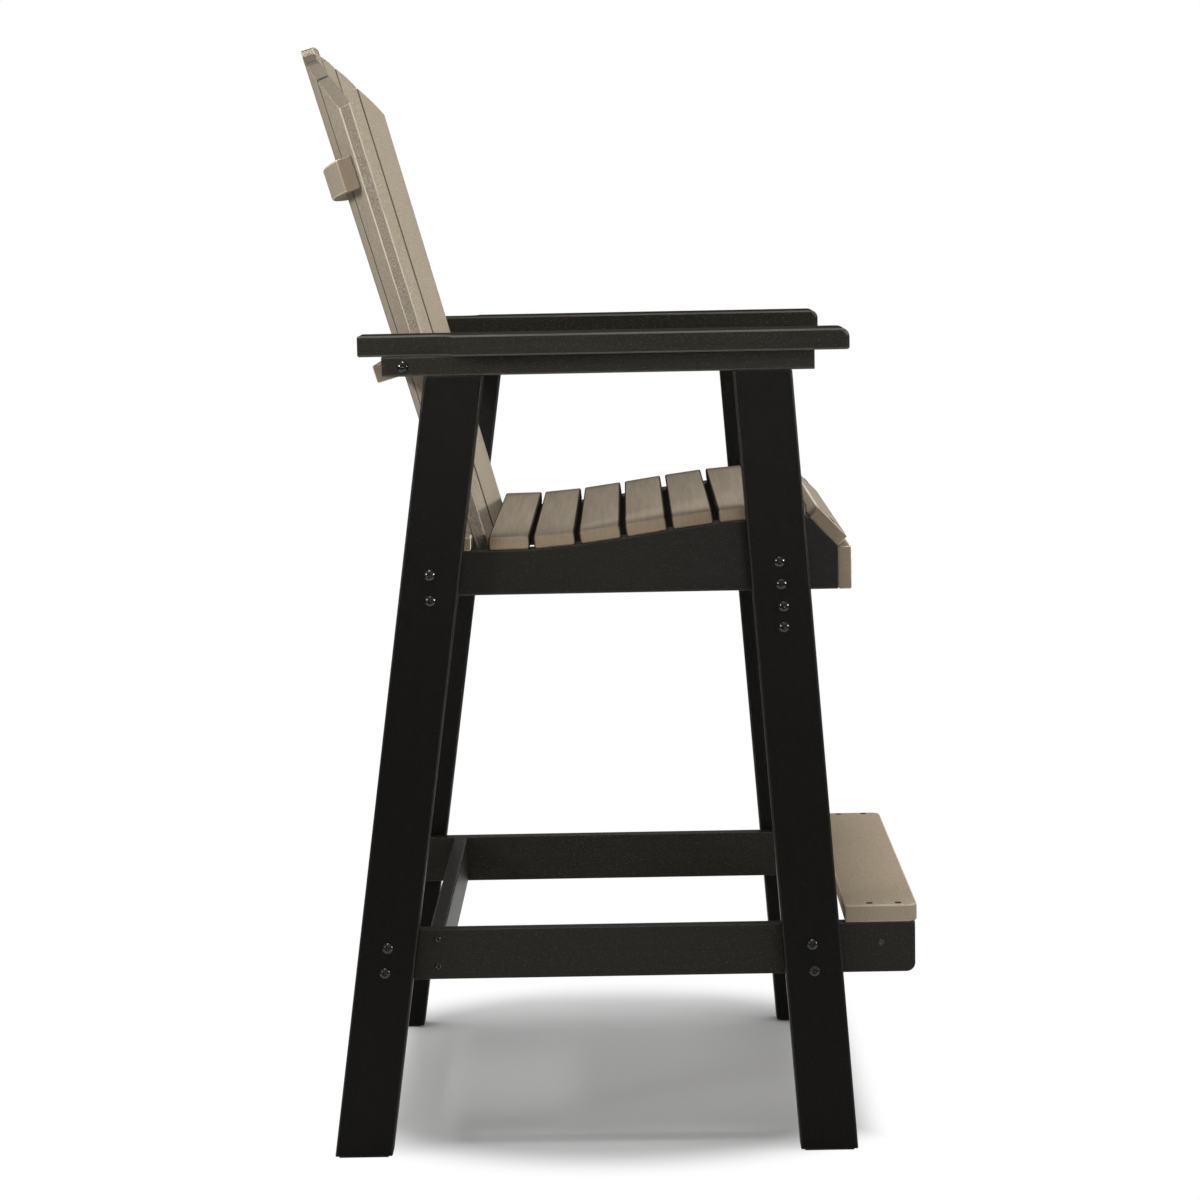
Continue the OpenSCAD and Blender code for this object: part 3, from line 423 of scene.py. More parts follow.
def mark_grain(piece, frames, along, gap_axis=None, outer=()):
    """Stores what the finishes read: a point's place in its board, rounded edges, sawn ends and the faces in
    gaps, which get a painted shade.

    frames holds a matrix and a number for each board in the mesh. The matrix leads from the board's own space,
    with its length along X. Faces across gap_axis look at the next board and get a painted shade. The faces in
    outer get less of it: outer holds a board's place in frames and a sign for each.
    """
    mesh = piece.data
    points = np.empty(len(mesh.vertices) * 3)
    mesh.vertices.foreach_get("co", points)
    points = points.reshape(-1, 3)
    axes = axes_of(frames)
    local = np.array([points @ inverse[:3, :3].T + inverse[:3, 3] for inverse in inverse_of(frames)])
    nearest = np.argmin(np.hypot(local[:, :, 1], local[:, :, 2]), axis=0)
    shifts = np.array([board_number for _, board_number in frames])
    grain = local[nearest, np.arange(len(points))]
    grain += (shifts[nearest] * GRAIN_SHIFT)[:, None] * np.array(GRAIN_STEPS)
    on_flat = np.zeros(len(points), bool)
    deep = np.zeros(len(points), np.float32)
    sawn = np.zeros(len(mesh.polygons), np.float32)
    for face in mesh.polygons:
        corners = list(face.vertices)
        k = nearest[corners[0]]
        if face.material_index == 0:
            on_flat[corners] = True
        if along and abs(np.dot(axes[k][0], face.normal)) > SAWN_FACE:
            sawn[face.index] = 1.0
        facing = np.dot(axes[k][gap_axis], face.normal) if gap_axis else 0.0
        # Faces that look at the next board get a painted shade, the outermost side faces less of it.
        if abs(facing) > GAP_FACE:
            deep[corners] = OUTER_GAP_SHADE if (k, np.sign(facing)) in outer else 1.0
    grains = mesh.attributes.new("grain", "FLOAT_VECTOR", "POINT")
    grains.data.foreach_set("vector", grain.astype(np.float32).ravel())
    for label, domain, values in (("edge", "POINT", (~on_flat).astype(np.float32)), ("sawn", "FACE", sawn),
                                  ("gap", "POINT", deep)):
        mesh.attributes.new(label, "FLOAT", domain).data.foreach_set("value", values)


def rounds_apart(piece, frames):
    """Gives the second slot to faces along none of their board's axes, as bevels give it to their faces."""
    axes, inverses = axes_of(frames), inverse_of(frames)
    for face in piece.data.polygons:
        centre = np.append(np.array(face.center), 1.0)
        k = min(range(len(frames)), key=lambda i: math.hypot(*(inverses[i] @ centre)[1:3]))
        if np.abs(axes[k] @ np.array(face.normal)).max() < FLAT_FACE:
            face.material_index = 1


def settle(piece, material, crease=BOARD_CREASE):
    """Creases a mesh where flats meet rounds, gives it one material and moves it from the layout to the row."""
    mesh = bmesh.new()
    mesh.from_mesh(piece.data)
    for face in mesh.faces:
        face.smooth = True
    for edge in mesh.edges:
        faces = edge.link_faces
        edge.smooth = len(faces) == 2 and faces[0].material_index == faces[1].material_index and (
            faces[0].material_index > 0 or edge.calc_face_angle(0) < math.radians(crease))
    for face in mesh.faces:
        face.material_index = 0
    mesh.transform(Matrix.Translation((0, -measure().centre, 0)))
    mesh.to_mesh(piece.data)
    mesh.free()
    piece.data.materials.clear()
    piece.data.materials.append(material)


def claim(piece, nodes):
    """Ties a finished piece to the frame."""
    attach(piece, "root")
    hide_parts(*nodes)


board_count = [0]


def dress(piece, rings, along, look, nodes, sawn):
    """Gives a board its grain, its material and its place in the frame."""
    across = Z if abs(along.z) < 0.7 else X
    third = along.cross(across).normalized()
    across = third.cross(along)
    middle = sum(rings[0] + rings[-1], Vector()) / (2 * len(rings[0]))
    matrix = Matrix.Translation(middle) @ Matrix((along, across, third)).transposed().to_4x4()
    board_count[0] += 1
    mark_grain(piece, [(matrix, board_count[0])], sawn)
    settle(piece, finish(look))
    claim(piece, nodes)


def skin(rings):
    """A closed bmesh through rings of points."""
    shape = bmesh.new()
    verts = [[shape.verts.new(p) for p in ring] for ring in rings]
    shape.faces.new(verts[0])
    shape.faces.new(reversed(verts[-1]))
    for low, high in zip(verts, verts[1:]):
        for i in range(len(low)):
            shape.faces.new((low[i - 1], low[i], high[i], high[i - 1]))
    bmesh.ops.recalc_face_normals(shape, faces=shape.faces)
    return shape


def board(name, rings, along, look, node_name=None, routed=False, bores=()):
    """Makes a board from two rings of points, with rounded long edges, broken sawn ones and its bores."""
    sizes = bpy.context.scene.chair_sizes
    shape = skin(rings)
    weight = shape.edges.layers.float.new("bevel_weight_edge")
    for edge in shape.edges:
        if edge.calc_face_angle(0) >= EDGE_ANGLE:
            run = (edge.verts[1].co - edge.verts[0].co).normalized()
            is_long = routed or abs(run.dot(along)) > ALONG
            edge[weight] = 1.0 if is_long else sizes.saw_round / sizes.long_round
    piece = piece_of(shape, name, finish(look))
    round_off(piece, "round", sizes.long_round, 3, limit_method="WEIGHT")
    cutter = bore_tool(name, bores, finish(look)) if bores else None
    if cutter:
        cut = piece.modifiers.new("bores", "BOOLEAN")
        cut.operation = "DIFFERENCE"
        cut.solver = "EXACT"
        cut.object = cutter
    bake(piece)
    if cutter:
        bpy.data.objects.remove(cutter)
    dress(piece, rings, along, look, [node_name or name], not routed)


def side_boards(stem, inner, outer, outline, along, look, bores=()):
    """Makes a board on each side of the chair from its outline in the yz plane."""
    for side, ending in SIDES:
        rings = pulled(outline, *sorted((side * inner, side * outer)))
        board(stem + ending, rings, along, look, bores=[bore for bore in bores if bore[0].x * side > 0])


def cross_board(name, half_long, y, z, look):
    """Makes a straight board across the chair."""
    board(name, pulled(rectangle(y, z), -half_long, half_long), X, look)


def level_board(name, rings, along, look):
    """Makes a board from rings of points at rising heights, whose rounds are in the rings."""
    shape = skin(rings)
    for face in shape.faces:
        face.material_index = 1 if STEEP < abs(face.normal.z) < FLAT else 0
    dress(piece_of(shape, name, finish(look)), rings, along, look, [name], False)


def bore_tool(name, bores, material):
    """One mesh of cylinders that a board is bored with: each has a mouth, a direction inwards and a depth."""
    tool = bmesh.new()
    for mouth, inward, depth in bores:
        turn = Z.rotation_difference(inward).to_matrix().to_4x4()
        place = Matrix.Translation(mouth + inward * (depth - BORE_LEAD) / 2) @ turn
        bmesh.ops.create_cone(tool, cap_ends=True, segments=32, radius1=BORE_RADIUS, radius2=BORE_RADIUS,
                              depth=depth + BORE_LEAD, matrix=place)
    return piece_of(tool, name + "_bores", material)


# Node trees

def node(tree, kind, wires=None, **settings):
    """Adds a node; wires maps its input names or numbers to a value or to another node's output."""
    made = tree.nodes.new(kind)
    for key, value in settings.items():
        setattr(made, key, value)
    for key, value in (wires or {}).items():
        for item in value if isinstance(value, list) else [value]:
            if isinstance(item, bpy.types.NodeSocket):
                tree.links.new(item, made.inputs[key])
            else:
                made.inputs[key].default_value = item
    return made


def maths(tree, operation, *values):
    return node(tree, "ShaderNodeMath", dict(enumerate(values)), operation=operation).outputs[0]


def times(tree, a, b):
    return maths(tree, "MULTIPLY", a, b)


def along_axis(tree, axis, value):
    return node(tree, "ShaderNodeCombineXYZ", {axis: value}).outputs[0]


def moved(tree, geometry, offset, turn=(0, 0, 0)):
    return node(tree, "GeometryNodeTransform", {"Geometry": geometry, "Translation": offset,
                                                "Rotation": turn}).outputs[0]


def carved(tree, operation, wires):
    return node(tree, "GeometryNodeMeshBoolean", wires, operation=operation, solver="EXACT").outputs[0]


def cylinder(tree, corners, radius, depth):
    wires = {"Vertices": corners, "Radius": radius, "Depth": depth}
    return node(tree, "GeometryNodeMeshCylinder", wires).outputs[0]


def ranged(tree, value, limits, **settings):
    """Maps a value from the limits From Min and From Max to the limits To Min and To Max."""
    return node(tree, "ShaderNodeMapRange", {"Value": value, **limits}, **settings).outputs[0]


def new_tree(name, floats, vectors=()):
    """A geometry tree with places, the named inputs and a finish, and its input node's outputs."""
    tree = bpy.data.node_groups.new(name, "GeometryNodeTree")
    kinds = [("Places", "Geometry")] + [(label, "Float") for label in floats]
    kinds += [(label, "Vector") for label in vectors] + [("Finish", "Material")]
    for label, kind in kinds:
        tree.interface.new_socket(label, in_out="INPUT", socket_type="NodeSocket" + kind)
    tree.interface.new_socket("Pieces", in_out="OUTPUT", socket_type="NodeSocketGeometry")
    return tree, tree.nodes.new("NodeGroupInput").outputs


def close_tree(tree, geometry, material):
    whole = node(tree, "GeometryNodeRealizeInstances", {"Geometry": geometry})
    coated = node(tree, "GeometryNodeSetMaterial", {"Geometry": whole.outputs[0], "Material": material})
    node(tree, "NodeGroupOutput", {0: coated.outputs[0]})
    return tree


def on_places(tree, places, instance):
    """Instances on the places, each turned as its place says."""
    turn = node(tree, "GeometryNodeInputNamedAttribute", {"Name": "turn"}, data_type="FLOAT_VECTOR")
    turned = node(tree, "FunctionNodeEulerToRotation", {0: turn.outputs[0]})
    return node(tree, "GeometryNodeInstanceOnPoints", {"Points": places, "Instance": instance,
                                                       "Rotation": turned.outputs[0]}).outputs[0]


def rounded_bar(tree, size, start, end):
    """A bar with rounded long edges between two points."""
    sides = {"Width": size["Width"], "Height": size["Thickness"]}
    section = node(tree, "GeometryNodeCurvePrimitiveQuadrilateral", sides).outputs[0]
    fillet = {"Curve": section, "Radius": size["Edge Radius"], "Count": 3}
    rounded = node(tree, "GeometryNodeFilletCurve", fillet, mode="POLY")
    line = node(tree, "GeometryNodeCurvePrimitiveLine", {"Start": start, "End": end})
    return node(tree, "GeometryNodeCurveToMesh", {"Curve": line.outputs[0], "Profile Curve": rounded.outputs[0],
                                                  "Fill Caps": True}).outputs[0]


def seat_slat_tree():
    """Straight slats on their places."""
    tree, size = new_tree("seat_slats", ("Length", "Width", "Thickness", "Edge Radius"))
    start, end = [along_axis(tree, "X", times(tree, size["Length"], part)) for part in (-0.5, 0.5)]
    slats = on_places(tree, size["Places"], rounded_bar(tree, size, start, end))
    return close_tree(tree, slats, size["Finish"])


def fan_slat_tree():
    """Tapered slats on their places, cut off under an arch and leaned back."""
    floats = ("Width", "Taper", "Thickness", "Edge Radius", "Foot", "Top", "Arch Radius", "Lean")
    tree, size = new_tree("fan_slats", floats, ("Root",))
    above = maths(tree, "ADD", size["Top"], size["Width"])
    bar = rounded_bar(tree, size, along_axis(tree, "Z", size["Foot"]), along_axis(tree, "Z", above))
    place = node(tree, "ShaderNodeSeparateXYZ", {0: node(tree, "GeometryNodeInputPosition").outputs[0]}).outputs
    rise = maths(tree, "SUBTRACT", place[2], size["Foot"])
    wider = maths(tree, "MULTIPLY_ADD", rise, size["Taper"], 1.0)
    spread = node(tree, "ShaderNodeCombineXYZ", {0: times(tree, place[0], wider), 1: place[1], 2: place[2]})
    bar = node(tree, "GeometryNodeSetPosition", {"Geometry": bar, "Position": spread.outputs[0]}).outputs[0]
    fan = node(tree, "GeometryNodeRealizeInstances", {"Geometry": on_places(tree, size["Places"], bar)})
    drop = along_axis(tree, "Z", maths(tree, "SUBTRACT", size["Top"], size["Arch Radius"]))
    drum = moved(tree, cylinder(tree, 360, size["Arch Radius"], 0.6), drop, (math.pi / 2, 0, 0))
    arched = carved(tree, "INTERSECT", {1: [fan.outputs[0], drum]})
    leaned = moved(tree, arched, size["Root"], along_axis(tree, "X", size["Lean"]))
    return close_tree(tree, leaned, size["Finish"])


def head_tree(name, domed, dome_share=0.62, socket_depth=0.95):
    """Heads of bolts or screws, each with its socket, pointing along +Z into the board."""
    tree, size = new_tree(name, ("Diameter", "Height", "Socket"))
    barrel = cylinder(tree, 40, times(tree, size["Diameter"], 0.5), size["Height"])
    head = moved(tree, barrel, along_axis(tree, "Z", times(tree, size["Height"], -0.5)))
    if domed:
        dome = times(tree, size["Diameter"], dome_share)
        ball = node(tree, "GeometryNodeMeshUVSphere", {"Segments": 40, "Rings": 60, "Radius": dome}).outputs[0]
        ball = moved(tree, ball, along_axis(tree, "Z", maths(tree, "SUBTRACT", dome, size["Height"])))
        head = carved(tree, "INTERSECT", {1: [head, ball]})
    key = cylinder(tree, 6 if domed else 4, times(tree, size["Socket"], 0.5), size["Height"])
    key = moved(tree, key, along_axis(tree, "Z", times(tree, size["Height"], -socket_depth)))
    head = carved(tree, "DIFFERENCE", {0: head, 1: key})
    return close_tree(tree, on_places(tree, size["Places"], head), size["Finish"])


def grow(name, tree, places, inputs, round_ends=0.0):
    """Runs a tree on places, each a point and a turn, and returns the plain piece."""
    mesh = bpy.data.meshes.new(name)
    mesh.from_pydata([tuple(point) for point, _ in places], [], [])
    turns = mesh.attributes.new("turn", "FLOAT_VECTOR", "POINT")
    turns.data.foreach_set("vector", [value for _, turn in places for value in turn])
    for _ in ("flat", "rounded"):
        mesh.materials.append(inputs["Finish"])
    piece = link(name, mesh)
    modifier = piece.modifiers.new("pieces", "NODES")
    modifier.node_group = tree
    for item in tree.interface.items_tree:
        if item.in_out == "INPUT" and item.name in inputs:
            modifier[item.identifier] = inputs[item.name]
    if round_ends:
        round_off(piece, "ends", round_ends, 2, limit_method="ANGLE", angle_limit=ROUND_ANGLE)
    return bake(piece)


# Finishes

TONE_REACH = 0.45  # share of the dark tone in the darkest parts of a board
EDGE_WEAR_AND_HIGHLIGHT, EDGE_WEAR_AND_HIGHLIGHT_LEAST = 1.6, 0.5  # brightness of the pale edges, part wear and part painted highlight, against a pale fleck, and how little of an edge gets it
SAW_MARK, SAWN = 0.75, 0.85  # brightness in a saw mark, and how far a sawn end hides the board's own colour
GAP_SHADE_TONE, GAP_SHADE = 0.12, 0.9  # painted shade in the gaps between boards: its brightness, and how far it hides the board's own colour
SMOOTHER, ROUGHER = 0.07, 0.09  # roughness of low and high grain against the mean
SAWN_ROUGH, EDGE_SMOOTH = 0.15, 0.14  # what a sawn end adds to the roughness and a worn edge takes from it
GRAIN_DEPTH, PEBBLE_DEPTH = 0.0006, 0.0002


def scaled(value, factor):
    return tuple(factor * part for part in value)


def grain_group():
    """The patterns of embossed lumber at a point of a board: streaks, flecks, tone, relief and saw marks."""
    name = "lumber_grain"
    if name in bpy.data.node_groups:
        return bpy.data.node_groups[name]
    group = bpy.data.node_groups.new(name, "ShaderNodeTree")
    group.interface.new_socket("Grain", in_out="INPUT", socket_type="NodeSocketVector")
    for label in ("Streak", "Fleck", "Tone", "Relief", "Saw", "Speckle"):
        group.interface.new_socket(label, in_out="OUTPUT", socket_type="NodeSocketFloat")
    grain = group.nodes.new("NodeGroupInput").outputs[0]

    def noise(scale, detail, rough, low, high):
        mapped = node(group, "ShaderNodeMapping", {"Vector": grain, "Scale": scale})
        cloud = node(group, "ShaderNodeTexNoise", {"Vector": mapped.outputs[0], "Scale": 1.0, "Detail": detail,
                                                   "Roughness": rough})
        return ranged(group, cloud.outputs[0], {"From Min": low, "From Max": high})

    streak = noise((6, 170, 170), 4.0, 0.6, 0.3, 0.7)
    fleck = noise((420, 1000, 1000), 1.0, 0.5, 0.62, 0.78)
    tone = noise((1.1, 0.7, 0.7), 1.0, 0.5, 0.3, 0.7)
    coarse = noise((60, 650, 650), 2.0, 0.5, 0.25, 0.75)
    fine = noise((400, 1300, 1300), 2.0, 0.6, 0.25, 0.75)
    saw = noise((300, 1500, 110), 2.0, 0.6, 0.25, 0.75)
    speckle = noise((500, 800, 800), 3.0, 0.75, 0.36, 0.68)
    relief = maths(group, "ADD", coarse, fine)
    node(group, "NodeGroupOutput", {0: streak, 1: fleck, 2: tone, 3: relief, 4: saw, 5: speckle})
    return group


def blend(tree, factor, a, b):
    """Mixes two colours, each a socket or a value."""
    made = tree.nodes.new("ShaderNodeMix")
    made.data_type = "RGBA"
    for place, value in ((0, factor), (6, a), (7, b)):
        if isinstance(value, bpy.types.NodeSocket):
            tree.links.new(value, made.inputs[place])
        else:
            made.inputs[place].default_value = value if place == 0 else (*value, 1.0)
    return made.outputs[2]


def new_material(name):
    material = bpy.data.materials.new(name)
    material.use_nodes = True
    return material, material.node_tree, material.node_tree.nodes["Principled BSDF"]


def surface(tree, shader, base, rough, specular, bump):
    """Wires a shader's colour and roughness, and a bump of a strength, a depth and a height."""
    tree.links.new(base, shader.inputs["Base Color"])
    tree.links.new(rough, shader.inputs["Roughness"])
    shader.inputs["Specular IOR Level"].default_value = specular
    relief = node(tree, "ShaderNodeBump", dict(zip(("Strength", "Distance", "Height"), bump)))
    tree.links.new(relief.outputs[0], shader.inputs["Normal"])


def board_finish(name, plain, dark, pale, cut, rough, emboss, specular, streaks, speckles, flecks, edge_wear_and_highlight):
    """Solid lumber with an embossed grain, flecks and sawn ends, pale edges of wear and painted highlight, and
    painted shade in the gaps.
    """
    material, tree, shader = new_material(name)
    grain, edge, sawn, gap = [node(tree, "ShaderNodeAttribute", attribute_name=label)
                              for label in ("grain", "edge", "sawn", "gap")]
    edge, sawn, gap = edge.outputs["Fac"], sawn.outputs["Fac"], gap.outputs["Fac"]
    pattern = node(tree, "ShaderNodeGroup", {0: grain.outputs["Vector"]}, node_tree=grain_group())
    streak, fleck, tone, relief, saw, speckle = pattern.outputs
    toned = blend(tree, times(tree, tone, TONE_REACH), plain, dark)
    streaked = blend(tree, times(tree, streak, streaks), toned, dark)
    speckled = blend(tree, speckles, streaked, blend(tree, speckle, dark, pale))
    flecked = blend(tree, times(tree, fleck, flecks), speckled, pale)
    # Pale edges: part rubbed wear, part a painted highlight where the rounded edges would catch the light.
    patchy = ranged(tree, streak, {"To Min": EDGE_WEAR_AND_HIGHLIGHT_LEAST, "To Max": 1.0})
    worn_and_lit_edges = blend(tree, times(tree, times(tree, edge, patchy), edge_wear_and_highlight), flecked, scaled(pale, EDGE_WEAR_AND_HIGHLIGHT))
    rasped = blend(tree, saw, scaled(cut, SAW_MARK), cut)
    ends = blend(tree, times(tree, sawn, SAWN), worn_and_lit_edges, rasped)
    # Painted shade on the faces in the gaps between boards.
    gap_shaded = blend(tree, times(tree, gap, GAP_SHADE), ends, scaled(dark, GAP_SHADE_TONE))
    spread = ranged(tree, relief, {"From Max": 2.0, "To Min": rough - SMOOTHER, "To Max": rough + ROUGHER})
    spread = maths(tree, "ADD", spread, times(tree, sawn, SAWN_ROUGH))
    spread = maths(tree, "SUBTRACT", spread, times(tree, edge, EDGE_SMOOTH))
    height = node(tree, "ShaderNodeMix", {0: sawn, 2: relief, 3: saw}).outputs[0]
    surface(tree, shader, gap_shaded, spread, specular, (emboss, GRAIN_DEPTH, height))
    return material


def small_finish(name, value, rough, metal=0.0, pebble=900.0):
    """A coated metal or moulded plastic with a fine pebble, on Object coordinates."""
    material, tree, shader = new_material(name)
    where = node(tree, "ShaderNodeTexCoord").outputs["Object"]
    cloud = node(tree, "ShaderNodeTexNoise", {"Vector": where, "Scale": pebble, "Detail": 3.0}).outputs[0]
    pale = tuple(min(1.0, 1.9 * part + 0.01) for part in value)
    base = blend(tree, times(tree, cloud, 0.5), value, pale)
    spread = ranged(tree, cloud, {"To Min": rough - 0.1, "To Max": rough + 0.1})
    shader.inputs["Metallic"].default_value = metal
    surface(tree, shader, base, spread, 0.6, (0.15, PEBBLE_DEPTH, cloud))
    return material


def black_finish(name, look):
    # Tones of the one black: painted shade on the legs, painted light on the arm rails and stretchers.
    tone = {"black_leg": look.leg_painted_shade, "black_rail": look.rail_painted_light}.get(name, 1.0)
    # The arms' brighter colour is painted sheen; their pale tone makes flecks and edges paler, the edges as
    # painted highlight.
    plain, pale_tone = (look.arm, 2.2) if name == "black_arm" else (look.black, tone)
    return board_finish(
        name, plain=scaled(plain, tone), dark=scaled(plain, 0.5 * tone),
        pale=scaled(look.black_pale, pale_tone), cut=look.black, rough=look.black_rough, emboss=look.emboss,
        specular={"black_leg": 0.12, "black_arm": 0.0}.get(name, 0.22),
        streaks=0.5, speckles=0.06, flecks=0.4, edge_wear_and_highlight=0.6 if name == "black_leg" else 0.35)


def taupe_finish(name, look):
    """The back's boards, or the softer ones that lie level: the seat slats and the footrest."""
    # Painted shade on the seat slats and on the back slats' sawn tops; on the footrest part its own tone, part
    # painted light.
    tone = {"taupe_seat": look.seat_painted_shade, "taupe_foot": look.foot_tone_and_light}.get(name, 1.0)
    cut_tone = {"taupe_slat": look.slat_top_painted_shade, "taupe_foot": 0.72 * look.foot_tone_and_light,
                "taupe_seat": 1.15}.get(name, 1.0)
    tones = {"plain": scaled(look.taupe, tone), "dark": scaled(look.taupe_dark, tone),
             "pale": scaled(look.taupe_pale, tone), "cut": scaled(look.taupe_cut, cut_tone)}
    if name in ("taupe_seat", "taupe_foot"):
        return board_finish(name, **tones, rough=look.taupe_rough, emboss=0.1 * look.emboss, specular=0.0,
                            streaks=0.08, speckles=0.4, flecks=0.1, edge_wear_and_highlight=0.3)
    return board_finish(name, **tones, rough=look.taupe_rough, emboss=0.5 * look.emboss, specular=0.2,
                        streaks=0.08, speckles=0.9, flecks=0.35, edge_wear_and_highlight=1.0)


def finish(name):
    """The named material, made when it is first asked for."""
    if name in bpy.data.materials:
        return bpy.data.materials[name]
    look = bpy.context.scene.chair_finish
    if name.startswith("black"):
        return black_finish(name, look)
    if name.startswith("taupe"):
        return taupe_finish(name, look)
    if name == "bolt_coat":
        return small_finish(name, look.bolt, look.bolt_rough)
    if name == "screw_coat":
        return small_finish(name, look.screw, 0.22, metal=0.6)
    return small_finish(name, (0.02, 0.02, 0.02), 0.5, pebble=300.0)


# Operators

def fasteners(name, proud=0.0):
    """The place of each fastener of a CAD node: where its axis meets the board, and its direction inwards."""
    shape = bmesh.new()
    shape.from_mesh(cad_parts[name].data)
    bmesh.ops.remove_doubles(shape, verts=shape.verts, dist=1e-6)
    found, seen = [], set()
    for start in shape.verts:
        if start in seen:
            continue
        island, queue = [], [start]
        seen.add(start)
        while queue:
            vert = queue.pop()
            island.append(vert.co.copy())
            for edge in vert.link_edges:
                other = edge.other_vert(vert)
                if other not in seen:
                    seen.add(other)
                    queue.append(other)
        points = np.array(island)
        mean = points.mean(0)
        axis = np.linalg.svd(points - mean, full_matrices=False)[2][0]
        run = (points - mean) @ axis
        away = np.linalg.norm(points - mean - np.outer(run, axis), axis=1)
        halfway = (run.max() + run.min()) / 2
        if away[run > halfway].max() > away[run < halfway].max():
            axis, run = -axis, -run
        line = points[away < away.max() * 2].mean(0)
        mouth = line + axis * (run.min() + proud - (line - mean) @ axis)
        found.append((Vector(mouth), Vector(axis)))
    shape.free()
    return found


def laid_out(d, name, proud=0.0):
    """The fasteners of a CAD node in the layout's depths."""
    return [(mouth + Vector((0, d.centre, 0)), inward) for mouth, inward in fasteners(name, proud)]


class CHAIR_OT_frame_boards(bpy.types.Operator):
    """Make the black boards: legs, arms with their rails, seat rails, cross rail and brace, and give the glides
    their finish
    """
    bl_idname = "chair.frame_boards"
    bl_label = "Frame Boards"

    def execute(self, context):
        d = measure()
        for stem, middle_at, half_wide, lean in (("leg_rear", d.rear_leg, d.rear_half, -d.rear_leg_lean),
                                                 ("leg_front", d.front_leg, d.front_half, d.front_leg_lean)):
            outline = [(middle_at(h) + end * half_wide, h) for h, end in (
                (d.glide_thick, -1), (d.glide_thick, 1), (d.leg_top, 1), (d.leg_top, -1))]
            along = Vector((0, math.sin(lean), math.cos(lean)))
            side_boards(stem, d.inner, d.half, outline, along, "black_leg")
        for side, ending in SIDES:
            rings = [[Vector((side * x, y, z)) for x, y in plan] for z, plan in self.arm_levels(d)]
            level_board("arm" + ending, rings, Y, "black_arm")
        outline = rectangle((d.arm_rail_front, d.arm_rail_rear), (d.leg_top, d.arm_under))
        side_boards("arm_rail", d.rail_inner, d.half, outline, Y, "black_rail")
        outline = [(d.cross_front, d.rail_under), (d.cross_front, d.seat_low)]
        for y, z, tilt in d.slats:
            outline += [(y, z), (y - d.seat_slat_wide * math.cos(tilt), z + d.seat_slat_wide * math.sin(tilt))]
        outline += [(d.seat_front, d.nose_z), d.nose_low, (d.nose_low[0], d.rail_under)]
        bores = [(Vector((mouth.x, mouth.y, d.rail_under)), Z, mouth.z - d.rail_under)
                 for mouth, _ in laid_out(d, "seat_slat_screws")]
        side_boards("seat_rail", d.inner - d.seat_rail_thick, d.inner, outline, Y, "black_board", bores)
        cross_board("rear_seat_cross_rail", d.inner, (d.cross_front, d.cross_front + d.cross_rail_thick),
                    (d.cross_top - d.cross_rail_high, d.cross_top), "black_board")
        thick = d.front_brace_thick / 2
        cross_board("front_leg_brace", d.inner, (d.brace_y - thick, d.brace_y + thick),
                    (d.rail_under - d.front_brace_high, d.rail_under), "black_board")
        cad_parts["glides"].material_slots[0].material = finish("glide_plastic")
        return {"FINISHED"}

    def arm_levels(self, d):
        """Heights and outlines of the left arm, with rounded edges and a larger round in front, on top."""
        r, nose, top = d.long_round, d.arm_nose, d.arm_under + d.arm_thick
        turns = [math.radians(15 * k) for k in range(7)]
        heights = [d.arm_under + r * (1 - math.cos(a)) for a in turns]
        heights += [top - nose * (1 - math.sin(a)) for a in turns]
        heights += [top - r * (1 - math.sin(a)) for a in turns[:-1]]

        def back(radius, rise):
            return radius - math.sqrt(max(radius * radius - rise * rise, 0.0)) if rise > 0 else 0.0

        for z in sorted(heights):
            inset = back(r, max(d.arm_under + r - z, z - top + r))
            yield z, self.arm_plan(d, inset, max(inset, back(nose, z - top + nose)))

    def arm_plan(self, d, inset, front):
        """Outline of the left arm at one height: rounded front corners, and an S-curve to its narrow rear."""
        wide = d.arm_outer - d.half
        bulge, hollow = wide * d.arm_round_share - inset, wide * (1 - d.arm_round_share) + inset
        inner, outer, narrow, r = d.arm_inner + inset, d.arm_outer - inset, d.half - inset, d.arm_corner - inset
        y, full, rear = d.arm_front + front, d.arm_rear - d.arm_tail, d.arm_rear - inset
        points = arc((inner + r, y + r), r, 180, 270, 6) + arc((outer - r, y + r), r, 270, 360, 6)
        points += arc((outer - bulge, full), bulge, 0, 90, 12)
        points += arc((narrow + hollow, full + bulge + hollow), hollow, 270, 180, 12)[1:]
        return points + [(narrow, rear), (inner, rear)]


